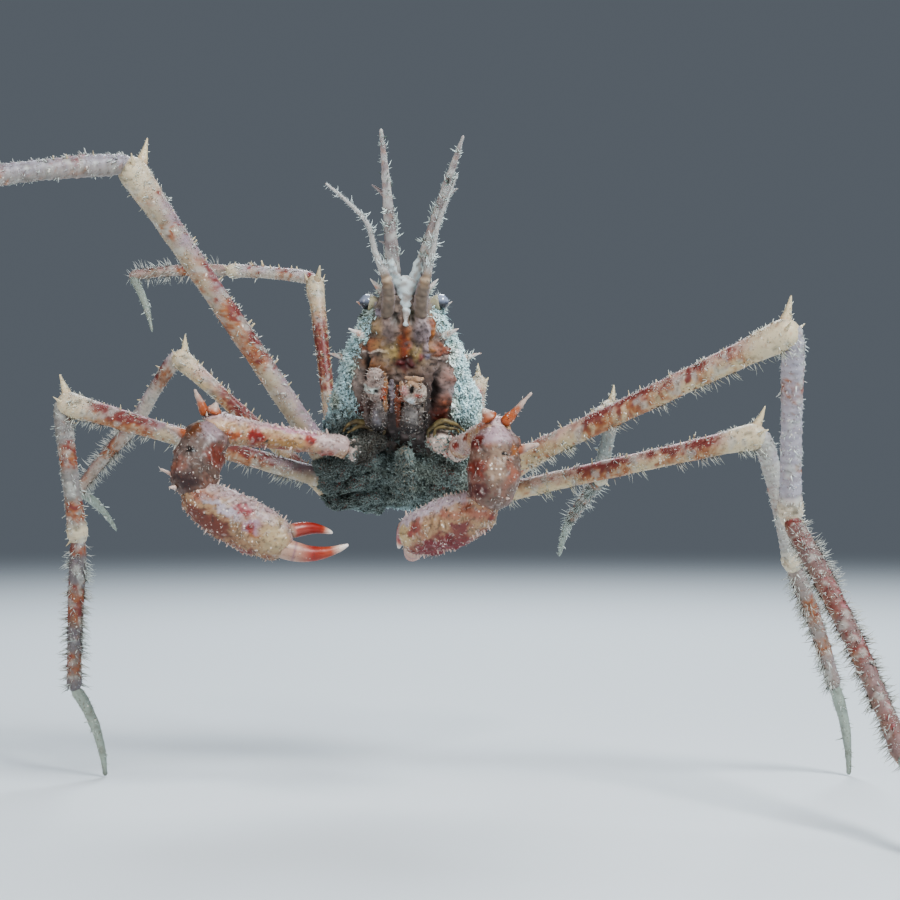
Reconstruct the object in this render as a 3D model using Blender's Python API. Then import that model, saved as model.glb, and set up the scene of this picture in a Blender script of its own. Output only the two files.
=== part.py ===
"""Spider crab, life size: a carapace under short wool, two long rostral spines, claws and eight legs.

World axes: +X is the crab's left, -Y the way it faces, +Z up. The origin is on the floor under the middle
of its box.
Every size is in millimetres, and the last step turns the meshes to metres.
Body places are (left, ahead, up) in the crab's own frame, whose nose is raised by PITCH.
A segment of a limb points by (azimuth, elevation) in degrees: azimuth 0 is straight out to its side and
90 straight back, elevation 90 straight up.
"""

import math
import random

import bmesh
import bpy
from mathutils import Matrix, Vector

MM = 0.001
GAP = 0.3
PITCH = math.radians(58.0)
BODY_CENTRE = Vector((7.0, -8.5, 109.0))
LEFT = Vector((1.0, 0.0, 0.0))
AHEAD = Vector((0.0, -math.cos(PITCH), math.sin(PITCH)))
UP = Vector((0.0, math.sin(PITCH), math.cos(PITCH)))
BACKWARD = Vector((0.0, 1.0, 0.0))
SIDES = {"left": 1, "right": -1}

# Body outline with its wool: (ahead, half width, top, widest level, bottom)
BODY_STATIONS = [
    (-34.0, 4.0, 3.0, -1.5, -5.0),
    (-31.0, 12.5, 7.5, -1.5, -8.5),
    (-26.0, 19.5, 12.5, -1.5, -11.0),
    (-18.0, 23.4, 15.8, -1.5, -12.8),
    (-8.0, 23.2, 16.6, -1.5, -13.4),
    (2.0, 20.9, 16.0, -2.0, -13.2),
    (11.0, 18.3, 14.5, -2.0, -11.6),
    (19.0, 15.4, 11.8, -1.5, -9.2),
    (24.5, 11.6, 9.6, -0.5, -7.0),
    (28.5, 7.6, 8.4, 0.5, -4.6),
    (33.0, 6.0, 7.4, 1.5, -2.4),
]
SECTION_SIDES = 22
SECTION_POWER = 0.86
THORAX_FRONT = 6.0
THORAX_LEVEL = -6.0
WAY_LENGTH = 18.0

# Wool: a core under rounded clumps set close
CORE_DEPTH = 1.7
WOOL_REAR = -32.0
WOOL_FRONT = 23.0
CLUMP_SPACING = 6.1
CLUMP_RADIUS = 3.75
CLUMP_SIDES = 6
CLUMP_SEED = 11
# Shell spines that stand out of the wool: (left, ahead, angle up from level, length)
BACK_SPINES = [
    (0.0, 15.0, 90, 4.0), (0.0, 6.0, 90, 4.5), (0.0, -9.0, 90, 5.0), (0.0, -30.5, 90, 6.0),
    (15.0, -6.0, 50, 4.5), (17.0, -19.0, 45, 4.5), (15.5, 12.0, 12, 4.0),
]

# Spines beside the eyes, over them and on the cheeks: name, root and tip as (left, ahead, up), radius
FACE_SPINES = [
    ("orbit", (6.5, 23.5, 3.6), (13.2, 27.4, 5.0), 1.5),
    ("brow", (4.5, 28.0, 6.0), (9.4, 33.2, 7.4), 1.3),
    ("cheek", (9.0, 20.0, -3.0), (15.0, 24.5, -5.2), 1.5),
]

# Mouth, pleon and feelers
MAXILLIPED_FRONT = 17.0
MAXILLIPED_REAR = -4.0
MAXILLIPED_SPAN = {"left": (-2.6, 6.8), "right": (-9.4, -3.2)}
PLEON_FRONT = -8.5
PLEON_REAR = -27.0

ROSTRUM_LEAN = 6.0
ROSTRUM_SPREAD = 9.5
ROSTRUM_LENGTH = 52.0
ROSTRUM_ROOT = (2.25, 27.5, 3.0)
EYE_PLACE = (10.2, 28.3, 3.0)
EYE_RADIUS = 2.15
ANTENNA_ROUTES = {
    "right": [(-4.6, 27.0, -3.4), (-4.0, 33.5, -3.2), (-4.6, 38.5, -2.6), (-7.3, 45.0, -1.0),
              (-9.5, 53.0, 1.0), (-14.5, 58.5, 2.5), (-20.5, 63.5, 4.0)],
    "left": [(4.6, 27.0, -3.4), (4.9, 33.5, -3.2), (6.1, 38.5, -2.6), (7.9, 45.0, -0.5),
             (9.2, 52.0, 1.5), (11.8, 59.0, 3.0), (14.5, 66.0, 4.5)],
}
ANTENNA_RADII = [1.45, 1.55, 1.3, 0.75, 0.6, 0.5, 0.3]

# Legs: the lengths of each pair's segments, its girth, its root on the body and the way each segment points
MERUS, CARPUS, PROPODUS, DACTYLUS = range(4)
SEGMENT_NAMES = ["merus", "carpus", "propodus", "dactylus"]
LEG_LENGTHS = {
    1: (97.0, 55.0, 84.0, 37.0),
    2: (78.0, 39.5, 42.5, 27.5),
    3: (60.5, 28.0, 34.0, 22.0),
    4: (65.0, 27.0, 33.0, 21.0),
}
LIMB_SIDES = 7
LEG_GIRTH = {1: 3.3, 2: 2.9, 3: 2.35, 4: 2.15}
LEG_ROOTS = {
    1: (22.0, -13.0, -12.0),
    2: (22.5, -20.0, -11.5),
    3: (21.5, -27.0, -8.5),
    4: (19.5, -31.5, 1.5),
}
LEG_DROPS = {(1, "left"): 5.0, (2, "left"): 5.0}
MERUS_LENGTHS = {(1, "left"): 98.8, (2, "left"): 78.9}
FOOT = "foot"
LEG_POSES = {
    (1, "left"): [(-30, 22.73), (83, -64), (-74, -41), (-83, FOOT)],
    (2, "left"): [(-13, 12.58), (46, -68), (53, -55), (40, FOOT)],
    (3, "left"): [(42, 25), (103, -55), (103, -22), (99, -35)],
    (4, "left"): [(88, 30), (110, -35), (120, -45), (110, -5)],
    (1, "right"): [(-20, 55), (-30, -10), (-62, -66), (-40, -80)],
    (2, "right"): [(4, 16), (131, -81), (55, -86), (163, FOOT)],
    (3, "right"): [(13, 41), (40, -48), (46, -34), (120, -35)],
    (4, "right"): [(66, 72), (14, 6), (21, -1), (-130, -57)],
}
FOOT_RADIUS = 0.75

CLAW_ROOT = (15.0, -7.0, -16.0)
CLAW_GIRTH = 3.1
CLAW_LENGTHS = (40.0, 18.5, 31.0)
CLAW_POSES = {
    "left": [(-76, 6), (-165, -85), (142, -18)],
    "right": [(-20, 8), (-50, -67), (179, -28)],
}
FINGER_REACH = {"left": (16.5, 14.0), "right": (16.0, 10.5)}
CLAW_FINGERS = {
    "left": {"fixed": (87, -8), "free": (92, -26), "lift": 3.2},
    "right": {"fixed": (172, 6), "free": (150, 2), "lift": 3.4},
}

# Claw outlines: (place along, radius); the palm is flattened
MERUS_STATIONS = [(0.0, CLAW_GIRTH), (0.3, 2.9), (0.7, 3.5), (0.93, 4.3), (1.02, 3.7), (1.06, 2.2)]
CARPUS_STATIONS = [(0.0, 4.0), (0.22, 6.1), (0.6, 6.5), (0.95, 5.6), (1.1, 3.5)]
PALM_STATIONS = [(-0.06, 3.0), (0.08, 5.0), (0.35, 6.6), (0.65, 6.6), (0.9, 5.3), (1.0, 3.6)]
FIXED_STATIONS = [(0.0, 2.9), (0.3, 2.6), (0.65, 1.7), (0.9, 0.9), (1.0, 0.3)]
FREE_STATIONS = [(0.0, 2.0), (0.3, 1.9), (0.65, 1.35), (0.9, 0.75), (1.0, 0.3)]
PALM_FLAT = 0.72

# Colours: linear red, green, blue, then roughness
COLOURS = {
    "wool": (0.60, 0.70, 0.64, 0.95),
    "underside": (0.25, 0.26, 0.22, 0.9),
    "shell": (0.66, 0.42, 0.34, 0.6),
    "banded": (0.62, 0.30, 0.22, 0.6),
    "bone": (0.66, 0.60, 0.56, 0.55),
    "claw": (0.68, 0.33, 0.25, 0.5),
    "finger": (0.55, 0.12, 0.08, 0.4),
    "cornea": (0.10, 0.11, 0.20, 0.15),
}


def in_world(left, ahead, up):
    """World place of a body place."""
    return BODY_CENTRE + left * LEFT + ahead * AHEAD + up * UP


def heading(side, azimuth, elevation):
    """Unit vector of a limb segment on the left (+1) or right (-1) side."""
    turn = math.radians(azimuth)
    rise = math.radians(elevation)
    flat = math.cos(rise)
    return Vector((side * flat * math.cos(turn), flat * math.sin(turn), math.sin(rise)))


def between(stations, place):
    """The columns of a station list at a place along it."""
    if place <= stations[0][0]:
        return stations[0][1:]
    for low, high in zip(stations, stations[1:]):
        if place <= high[0]:
            t = (place - low[0]) / (high[0] - low[0])
            return tuple(a + (b - a) * t for a, b in zip(low[1:], high[1:]))
    return stations[-1][1:]


def rounded(value, power):
    return math.copysign(abs(value) ** power, value)


def body_point(ahead, angle, shrink=0.0):
    """Point on the body's outline: angle 0 is its left side, 90 degrees the back, 270 the underside."""
    width, top, level, bottom = between(BODY_STATIONS, ahead)
    height = top - level if math.sin(angle) > 0 else level - bottom
    width = max(width - shrink, 1.0)
    height = max(height - shrink, 1.0)
    left = width * rounded(math.cos(angle), SECTION_POWER)
    up = level + height * rounded(math.sin(angle), SECTION_POWER)
    return in_world(left, ahead, up)


# Mesh helpers

def new_object(name, mesh_maker):
    """An object from a bmesh that mesh_maker fills, with its faces turned out."""
    bm = bmesh.new()
    mesh_maker(bm)
    bmesh.ops.recalc_face_normals(bm, faces=bm.faces)
    mesh = bpy.data.meshes.new(name)
    bm.to_mesh(mesh)
    bm.free()
    obj = bpy.data.objects.new(name, mesh)
    bpy.context.scene.collection.objects.link(obj)
    return obj


def skin_rings(bm, rings):
    """Close a row of rings into one body with a flat face at each end; a ring of one point is a tip."""
    rows = [[bm.verts.new(point) for point in ring] for ring in rings]
    for low, high in zip(rows, rows[1:]):
        count = max(len(low), len(high))
        for i in range(count):
            j = (i + 1) % count
            if len(high) == 1:
                bm.faces.new((low[i], low[j], high[0]))
            elif len(low) == 1:
                bm.faces.new((low[0], high[j], high[i]))
            else:
                bm.faces.new((low[i], low[j], high[j], high[i]))
    for row in (rows[0], rows[-1]):
        if len(row) > 2:
            bm.faces.new(row)


def ring_at(centre, along, radius, sides, flat=1.0):
    """Points of one ring across a path, made flat times as thick from front to back."""
    along = along.normalized()
    thick = BACKWARD - along * BACKWARD.dot(along)
    if thick.length < 0.05:
        thick = UP - along * UP.dot(along)
    thick.normalize()
    wide = along.cross(thick)
    points = []
    for i in range(sides):
        turn = 2.0 * math.pi * (i + 0.5) / sides
        points.append(centre + wide * (radius * math.cos(turn)) + thick * (radius * flat * math.sin(turn)))
    return points


def bowed_path(start, end, bow):
    """A path from start to end that arches by bow along the upright across it."""
    along = (end - start).normalized()
    upright = Vector((0.0, 0.0, 1.0))
    arch = upright - along * upright.dot(along)
    if arch.length < 0.2:
        arch = Vector((0.0, -1.0, 0.0)) - along * Vector((0.0, -1.0, 0.0)).dot(along)
    arch.normalize()

    def place(t):
        return start.lerp(end, t) + arch * (bow * 4.0 * t * (1.0 - t))

    return place


def path_tube(bm, place, stations, sides, flat=1.0):
    """A closed tube along place(t), with a radius from each (t, radius) station; radius 0 is a tip."""
    step = 0.01
    rings = []
    for t, radius in stations:
        along = place(t + step) - place(t - step)
        if radius <= 0.0:
            rings.append([place(t)])
        else:
            rings.append(ring_at(place(t), along, radius, sides, flat))
    skin_rings(bm, rings)


def tube_object(name, start, end, stations, sides, bow=0.0):
    place = bowed_path(start, end, bow)
    return new_object(name, lambda bm: path_tube(bm, place, stations, sides))


def spine_object(name, root, tip, radius, sides=5, bow=0.0):
    """A tapered spine with one ring half way, so that it can bend."""
    return tube_object(name, root, tip, [(0.0, radius), (0.5, radius * 0.62), (1.0, 0.0)], sides, bow)


def bristles(place, stations, spots, toward, length, lean=1.0, radius=0.55):
    """Short stiff tufts along a tube at the given spots, each pointing toward and leaning along it."""
    tufts = []
    for spot in spots:
        along = (place(spot + 0.01) - place(spot - 0.01)).normalized()
        side = (toward - along * toward.dot(along)).normalized()
        girth = between(stations, spot)[0]
        root = place(spot) + side * (girth * 0.45)
        tip = place(spot) + side * (girth + length) + along * lean
        tufts.append(spine_object("tuft", root, tip, radius, sides=3))
    return tufts


def even_spots(first, last, count):
    return [first + (last - first) * i / (count - 1) for i in range(count)]


def apply_modifiers(obj):
    graph = bpy.context.evaluated_depsgraph_get()
    mesh = bpy.data.meshes.new_from_object(obj.evaluated_get(graph))
    obj.modifiers.clear()
    obj.data = mesh


def keep_largest(obj):
    """Delete every closed surface of the object but the largest."""
    bm = bmesh.new()
    bm.from_mesh(obj.data)
    bmesh.ops.remove_doubles(bm, verts=bm.verts, dist=0.002)
    bm.faces.ensure_lookup_table()
    seen = set()
    islands = []
    for face in bm.faces:
        if face in seen:
            continue
        island = []
        queue = [face]
        seen.add(face)
        while queue:
            current = queue.pop()
            island.append(current)
            for edge in current.edges:
                if len(edge.link_faces) != 2:
                    continue
                for other in edge.link_faces:
                    if other not in seen:
                        seen.add(other)
                        queue.append(other)
        islands.append(island)
    islands.sort(key=lambda island: sum(face.calc_area() for face in island))
    spare = [face for island in islands[:-1] for face in island]
    bmesh.ops.delete(bm, geom=spare, context="FACES")
    bmesh.ops.triangulate(bm, faces=bm.faces)
    bm.to_mesh(obj.data)
    bm.free()


def join_pieces(body, pieces):
    """Fuse closed pieces into body with one Boolean union, and remove them."""
    if not pieces:
        keep_largest(body)
        return body
    group = bpy.data.collections.new(body.name + "_pieces")
    for piece in pieces:
        group.objects.link(piece)
    union = body.modifiers.new("union", "BOOLEAN")
    union.operation = "UNION"
    union.operand_type = "COLLECTION"
    union.collection = group
    union.solver = "EXACT"
    apply_modifiers(body)
    for piece in pieces:
        bpy.data.objects.remove(piece)
    bpy.data.collections.remove(group)
    keep_largest(body)
    return body


def grown_copy(obj, distance):
    """A copy of the object whose surface stands out by a distance."""
    copy = obj.copy()
    copy.data = obj.data.copy()
    bpy.context.scene.collection.objects.link(copy)
    bm = bmesh.new()
    bm.from_mesh(copy.data)
    bm.normal_update()
    normals = [vert.normal.copy() for vert in bm.verts]
    for vert, normal in zip(bm.verts, normals):
        vert.co += normal * distance
    bm.to_mesh(copy.data)
    bm.free()
    return copy


def cut_with(obj, cutter, operation="DIFFERENCE"):
    """Cut obj by a cutter object, remove the cutter and keep the largest piece."""
    cut = obj.modifiers.new("cut", "BOOLEAN")
    cut.operation = operation
    cut.object = cutter
    cut.solver = "EXACT"
    apply_modifiers(obj)
    bpy.data.objects.remove(cutter)
    keep_largest(obj)
    return obj


def cut_with_all(obj, cutters):
    """Cut obj by several cutters at once, remove them and keep the largest piece."""
    group = bpy.data.collections.new("cutters")
    for cutter in cutters:
        group.objects.link(cutter)
    cut = obj.modifiers.new("cut", "BOOLEAN")
    cut.operation = "DIFFERENCE"
    cut.operand_type = "COLLECTION"
    cut.collection = group
    cut.solver = "EXACT"
    apply_modifiers(obj)
    for cutter in cutters:
        bpy.data.objects.remove(cutter)
    bpy.data.collections.remove(group)
    keep_largest(obj)
    return obj


def seat_against(obj, neighbour):
    """Cut obj back to lie face to face with its neighbour across the gap."""
    return cut_with(obj, grown_copy(neighbour, GAP))


def cut_at_floor(obj):
    """Slice obj flat at floor level."""
    bm = bmesh.new()
    bm.from_mesh(obj.data)
    geometry = bm.verts[:] + bm.edges[:] + bm.faces[:]
    bmesh.ops.bisect_plane(bm, geom=geometry, plane_co=(0, 0, 0), plane_no=(0, 0, -1), clear_outer=True)
    rim = [edge for edge in bm.edges if edge.is_boundary]
    bmesh.ops.edgeloop_fill(bm, edges=rim)
    bmesh.ops.recalc_face_normals(bm, faces=bm.faces)
    bm.to_mesh(obj.data)
    bm.free()


def give_material(obj, colour_name):
    red, green, blue, roughness = COLOURS[colour_name]
    material = bpy.data.materials.new(obj.name + "_finish")
    material.use_nodes = True
    shader = material.node_tree.nodes["Principled BSDF"]
    shader.inputs["Base Color"].default_value = (red, green, blue, 1.0)
    shader.inputs["Roughness"].default_value = roughness
    shader.inputs["Metallic"].default_value = 0.0
    obj.data.materials.clear()
    obj.data.materials.append(material)


# Body

def body_block(name, front, level, grow):
    """The box that holds the thorax's part of the body: behind front and under level."""
    def fill(bm):
        bmesh.ops.create_cube(bm, size=1.0)
        low = Vector((-45.0, -60.0, -40.0))
        high = Vector((45.0, front + grow, level + grow))
        for vert in bm.verts:
            corner = [high[k] if vert.co[k] > 0 else low[k] for k in range(3)]
            vert.co = in_world(*corner)

    return new_object(name, fill)


def body_shell(name):
    """The core of the whole body as one loft along its length, bare at the head and deeper under wool."""
    def fill(bm):
        rings = []
        for station in BODY_STATIONS:
            shrink = CORE_DEPTH if station[0] < WOOL_FRONT else 0.0
            turns = [2.0 * math.pi * (i + 0.5) / SECTION_SIDES for i in range(SECTION_SIDES)]
            rings.append([body_point(station[0], turn, shrink) for turn in turns])
        skin_rings(bm, rings)

    return new_object(name, fill)


def limb_roots():
    """Every limb's root on the body: place, direction of its merus, and radius there."""
    roots = []
    for (pair, side_name), pose in LEG_POSES.items():
        side = SIDES[side_name]
        left, ahead, up = leg_root(pair, side_name)
        roots.append(((side * left, ahead, up), heading(side, *pose[MERUS]), LEG_GIRTH[pair]))
    for side_name, pose in CLAW_POSES.items():
        side = SIDES[side_name]
        left, ahead, up = CLAW_ROOT
        roots.append(((side * left, ahead, up), heading(side, *pose[MERUS]), CLAW_GIRTH))
    return roots


def limb_way(name, root, direction, girth):
    """The room that a limb's merus needs from its root on."""
    start = in_world(*root) - direction * (GAP / 2 - 0.03)
    radius = girth * 1.02 + GAP
    return tube_object(name, start, start + direction * WAY_LENGTH, [(0.0, radius), (1.0, radius)], 8)


def limb_stub(name, root, direction, girth, beyond=0.0, clearance=0.0):
    """Coxa and ischium, from inside the thorax to where the merus starts, or as far beyond as asked."""
    side = 1.0 if root[0] > 0 else -1.0
    radius = girth * 1.08 + clearance
    inside = in_world(side * (6.5 - clearance * 3), root[1] + 1.0, -10.2)
    outer = in_world(*root)
    elbow = outer - direction * 3.0
    rings = [
        ring_at(inside, elbow - inside, radius, 8),
        ring_at(inside.lerp(elbow, 0.75), elbow - inside, radius * 1.05, 8),
        ring_at(elbow, direction, radius * 1.05, 8),
        ring_at(outer + direction * (beyond - GAP / 2), direction, radius, 8),
    ]
    return new_object(name, lambda bm: skin_rings(bm, rings))


def outward(ahead, angle):
    """Unit normal of the body's outline."""
    step = 0.02
    round_way = body_point(ahead, angle + step) - body_point(ahead, angle - step)
    long_way = body_point(ahead + 0.5, angle) - body_point(ahead - 0.5, angle)
    normal = round_way.cross(long_way).normalized()
    middle = in_world(0.0, ahead, 0.0)
    return normal if normal.dot(body_point(ahead, angle) - middle) > 0 else -normal


def angles_round(ahead, first, last, lead):
    """Angles that lie CLUMP_SPACING apart along the outline, from first to last in degrees."""
    step = math.radians(1.5)
    angle = math.radians(first)
    travelled = lead
    before = body_point(ahead, angle)
    found = []
    while angle < math.radians(last):
        angle += step
        here = body_point(ahead, angle)
        travelled += (here - before).length
        before = here
        if travelled >= CLUMP_SPACING:
            travelled -= CLUMP_SPACING
            found.append(angle)
    return found


def wool_clump(ahead, angle, chance):
    """One rounded clump, its root sunk in the core and its top near the body's outline."""
    out = outward(ahead, angle)
    radius = CLUMP_RADIUS * chance.uniform(0.88, 1.12)
    top = body_point(ahead, angle) + out * chance.uniform(-0.4, 0.7)
    lean = Vector([chance.uniform(-0.18, 0.18) for _ in range(3)])
    axis = (out + lean).normalized()
    rings = []
    for depth, share in ((4.4, 0.62), (2.3, 1.0), (0.7, 0.74)):
        rings.append(ring_at(top - axis * depth, axis, radius * share, CLUMP_SIDES))
    rings.append([top])
    return new_object("clump", lambda bm: skin_rings(bm, rings))


def clear_of_limbs(place, roots):
    """True where a clump at a place leaves room for every merus."""
    for root, direction, girth in roots:
        start = in_world(*root)
        t = max(-0.5, min(WAY_LENGTH, (place - start).dot(direction)))
        if t >= 0.0 and (place - start - direction * t).length < CLUMP_RADIUS + girth + GAP:
            return False
    return True


def wool(rows, ranges, roots, seed):
    """Clumps in rows along the body, each row filling its ranges of angles."""
    chance = random.Random(seed)
    clumps = []
    for index, ahead in enumerate(rows):
        for first, last in ranges:
            lead = CLUMP_SPACING * (0.5 if index % 2 else 0.95)
            for angle in angles_round(ahead, first, last, lead):
                place = ahead + chance.uniform(-0.8, 0.8)
                if clear_of_limbs(body_point(place, angle), roots):
                    clumps.append(wool_clump(place, angle, chance))
    return clumps


def back_spines():
    """The few strong spines of the carapace, on its middle line and on both sides."""
    spines = []
    for left, ahead, lift, length in BACK_SPINES:
        for side in ((1, -1) if left else (1,)):
            angle = math.radians(lift)
            width = between(BODY_STATIONS, ahead)[0]
            if left:
                angle = math.acos(min(left / width, 0.98))
                angle = min(angle, math.radians(lift))
            if side < 0:
                angle = math.pi - angle
            out = outward(ahead, angle)
            surface = body_point(ahead, angle)
            tip = surface + out * length - AHEAD
            spines.append(spine_object("back_spine", surface - out * 4.5, tip, 1.3))
    return spines


def face_spines():
    """Spines and lobes round the orbits and between the feelers."""
    spines = []
    for side in (1, -1):
        for name, (left, ahead, up), (tip_left, tip_ahead, tip_up), radius in FACE_SPINES:
            root = in_world(side * left, ahead, up)
            tip = in_world(side * tip_left, tip_ahead, tip_up)
            spines.append(spine_object(name, root, tip, radius))
    spines.append(spine_object("between", in_world(0.2, 27.5, -2.5), in_world(0.2, 26.0, -8.0), 1.1))
    return spines


def make_body():
    """Carapace above and in front, thorax with the limbs' first joints below and behind."""
    roots = limb_roots()
    row_count = round((WOOL_FRONT - WOOL_REAR) / (CLUMP_SPACING * 0.9))
    rows = [WOOL_REAR + (WOOL_FRONT - WOOL_REAR) * i / row_count for i in range(row_count + 1)]
    carapace = body_shell("carapace")
    pieces = wool(rows, [(-28, 208)], roots, CLUMP_SEED) + back_spines() + face_spines()
    join_pieces(carapace, pieces)
    cut_with(carapace, body_block("block", THORAX_FRONT, THORAX_LEVEL, 0.0))
    cut_with_all(carapace, [limb_stub("way", *root, beyond=WAY_LENGTH, clearance=GAP) for root in roots])
    thorax = body_shell("thorax")
    low_rows = [row for row in rows if row < -3.0]
    join_pieces(thorax, wool(low_rows, [(205, 246), (294, 335)], roots, CLUMP_SEED + 1))
    cut_with(thorax, body_block("block", THORAX_FRONT, THORAX_LEVEL, -GAP), "INTERSECT")
    join_pieces(thorax, [limb_stub("stub", *root) for root in roots])
    cut_with_all(thorax, [limb_way("way", *root) for root in roots])
    give_material(carapace, "wool")
    give_material(thorax, "underside")
    return carapace, thorax


def make_pleon(thorax):
    """The narrow tail flap folded under the thorax, six plates long."""
    plates = 6
    rings = []
    for i in range(plates * 2 + 1):
        t = i / (plates * 2)
        ahead = PLEON_REAR + (PLEON_FRONT - PLEON_REAR) * t
        half = 4.6 - 2.6 * t + (0.35 if i % 2 else 0.0)
        bottom = between(BODY_STATIONS, ahead)[3]
        thick = 1.7 if i % 2 else 1.35
        rings.append([
            in_world(-half, ahead, bottom + 1.2),
            in_world(-half * 0.9, ahead, bottom - thick * 0.7),
            in_world(-half * 0.35, ahead, bottom - thick),
            in_world(half * 0.35, ahead, bottom - thick),
            in_world(half * 0.9, ahead, bottom - thick * 0.7),
            in_world(half, ahead, bottom + 1.2),
        ])
    pleon = new_object("pleon", lambda bm: skin_rings(bm, rings))
    seat_against(pleon, thorax)
    give_material(pleon, "bone")
    return pleon


def make_maxilliped(side_name, carapace, thorax):
    """Outer mouth part: a rounded flap over the mouth."""
    low, high = MAXILLIPED_SPAN[side_name]
    middle = (low + high) / 2
    rings = []
    rows = 7
    for i in range(rows):
        t = i / (rows - 1)
        ahead = MAXILLIPED_REAR + (MAXILLIPED_FRONT - MAXILLIPED_REAR) * t
        half = (high - low) / 2 * math.sqrt(max(1.0 - (2 * t - 1) ** 4, 0.16))
        bottom = between(BODY_STATIONS, ahead)[3]
        swell = 2.6 * math.sqrt(max(1.0 - (2 * t - 1) ** 2, 0.1))
        ring = []
        for k in range(8):
            turn = 2.0 * math.pi * (k + 0.5) / 8
            up = bottom - 0.2 + swell * math.sin(turn)
            ring.append(in_world(middle + half * math.cos(turn), ahead, up))
        rings.append(ring)
    flap = new_object("maxilliped_" + side_name, lambda bm: skin_rings(bm, rings))
    seat_against(flap, carapace)
    seat_against(flap, thorax)
    give_material(flap, "shell")
    return flap


def rostrum_direction(side):
    """Each spine spreads from a middle line that leans a little to the crab's left."""
    turn = math.radians(ROSTRUM_LEAN + side * ROSTRUM_SPREAD)
    return (LEFT * math.sin(turn) + AHEAD * math.cos(turn)).normalized()


def make_rostral_spine(side_name, carapace):
    side = SIDES[side_name]
    left, ahead, up = ROSTRUM_ROOT
    root = in_world(side * left, ahead, up)
    tip = root + rostrum_direction(side) * ROSTRUM_LENGTH
    stations = [(0.0, 2.0), (0.22, 1.95), (0.45, 1.6), (0.7, 1.15), (0.9, 0.7), (1.0, 0.35)]
    place = bowed_path(root, tip, 1.0)
    spine = new_object("rostral_spine_" + side_name, lambda bm: path_tube(bm, place, stations, LIMB_SIDES))
    branch_root = root.lerp(tip, 0.62)
    branch_tip = branch_root + (LEFT * side * 4.2 + AHEAD * 3.2 + UP * 0.6)
    tufts = bristles(place, stations, (0.42, 0.74), LEFT * side, 2.2, 1.2)
    tufts += bristles(place, stations, (0.52, 0.84), UP - LEFT * side * 0.5, 2.0, 1.2)
    join_pieces(spine, [spine_object("branch", branch_root, branch_tip, 0.8)] + tufts)
    seat_against(spine, carapace)
    give_material(spine, "bone")
    return spine


def make_eye(side_name, carapace):
    side = SIDES[side_name]
    left, ahead, up = EYE_PLACE
    centre = in_world(side * left, ahead, up)
    root = in_world(side * (left - 5.0), ahead - 1.0, up)
    out = (centre - root).normalized()
    start = root
    end = centre + out * EYE_RADIUS
    reach = (end - start).length
    stations = [(0.0, 1.3), (0.3, 1.45)]
    for turn in (-62, -30, 5, 38, 66):
        angle = math.radians(turn)
        along = (reach - EYE_RADIUS + EYE_RADIUS * math.sin(angle)) / reach
        stations.append((along, EYE_RADIUS * math.cos(angle)))
    stations.append((1.0, 0.0))
    eye = tube_object("eye_" + side_name, start, end, stations, 10)
    seat_against(eye, carapace)
    give_material(eye, "cornea")
    return eye


def make_antenna(side_name, carapace, spine):
    """A stout first joint beside the rostrum's root, and a thin whip from its end."""
    places = [in_world(*place) for place in ANTENNA_ROUTES[side_name]]
    rings = []
    for i, (place, radius) in enumerate(zip(places, ANTENNA_RADII)):
        before = places[max(i - 1, 0)]
        after = places[min(i + 1, len(places) - 1)]
        rings.append(ring_at(place, after - before, radius, 7))
    antenna = new_object("antenna_" + side_name, lambda bm: skin_rings(bm, rings))
    seat_against(antenna, carapace)
    seat_against(antenna, spine)
    give_material(antenna, "bone")
    return antenna


# Limbs

def segment_stations(kind, girth):
    """Radii along a leg segment; the far end of all but the last is a rounded knuckle."""
    if kind == MERUS:
        return [(0.0, girth), (0.1, girth * 0.95), (0.35, girth * 0.92), (0.65, girth * 0.96),
                (0.88, girth * 1.08), (0.975, girth * 1.22), (1.0, girth * 1.05), (1.015, girth * 0.6)]
    if kind == CARPUS:
        return [(0.0, girth * 0.62), (0.08, girth * 0.86), (0.45, girth * 0.86), (0.85, girth * 0.92),
                (0.97, girth * 1.0), (1.02, girth * 0.8), (1.05, girth * 0.4)]
    if kind == PROPODUS:
        return [(0.0, girth * 0.55), (0.07, girth * 0.82), (0.45, girth * 0.8), (0.9, girth * 0.72),
                (1.0, girth * 0.7), (1.03, girth * 0.4)]
    return [(0.0, girth * 0.4), (0.1, girth * 0.58), (0.45, girth * 0.5), (0.8, girth * 0.34)]


def leg_root(pair, side_name):
    """Where a leg leaves the body, as (left, ahead, up) on the left side; some roots sit lower than their pair."""
    left, ahead, up = LEG_ROOTS[pair]
    drop = LEG_DROPS.get((pair, side_name), 0.0)
    return left, ahead - drop * math.sin(PITCH), up - drop * math.cos(PITCH)


def leg_joints(pair, side_name):
    """World places of the leg's root and of each segment's end; a foot's last segment ends on the floor."""
    side = SIDES[side_name]
    left, ahead, up = leg_root(pair, side_name)
    places = [in_world(side * left, ahead, up)]
    lengths = [MERUS_LENGTHS.get((pair, side_name), LEG_LENGTHS[pair][MERUS]), *LEG_LENGTHS[pair][CARPUS:]]
    for (azimuth, elevation), length in zip(LEG_POSES[(pair, side_name)], lengths):
        if elevation == FOOT:
            elevation = -math.degrees(math.asin(places[-1].z / length))
        places.append(places[-1] + heading(side, azimuth, elevation) * length)
    return places


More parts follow.
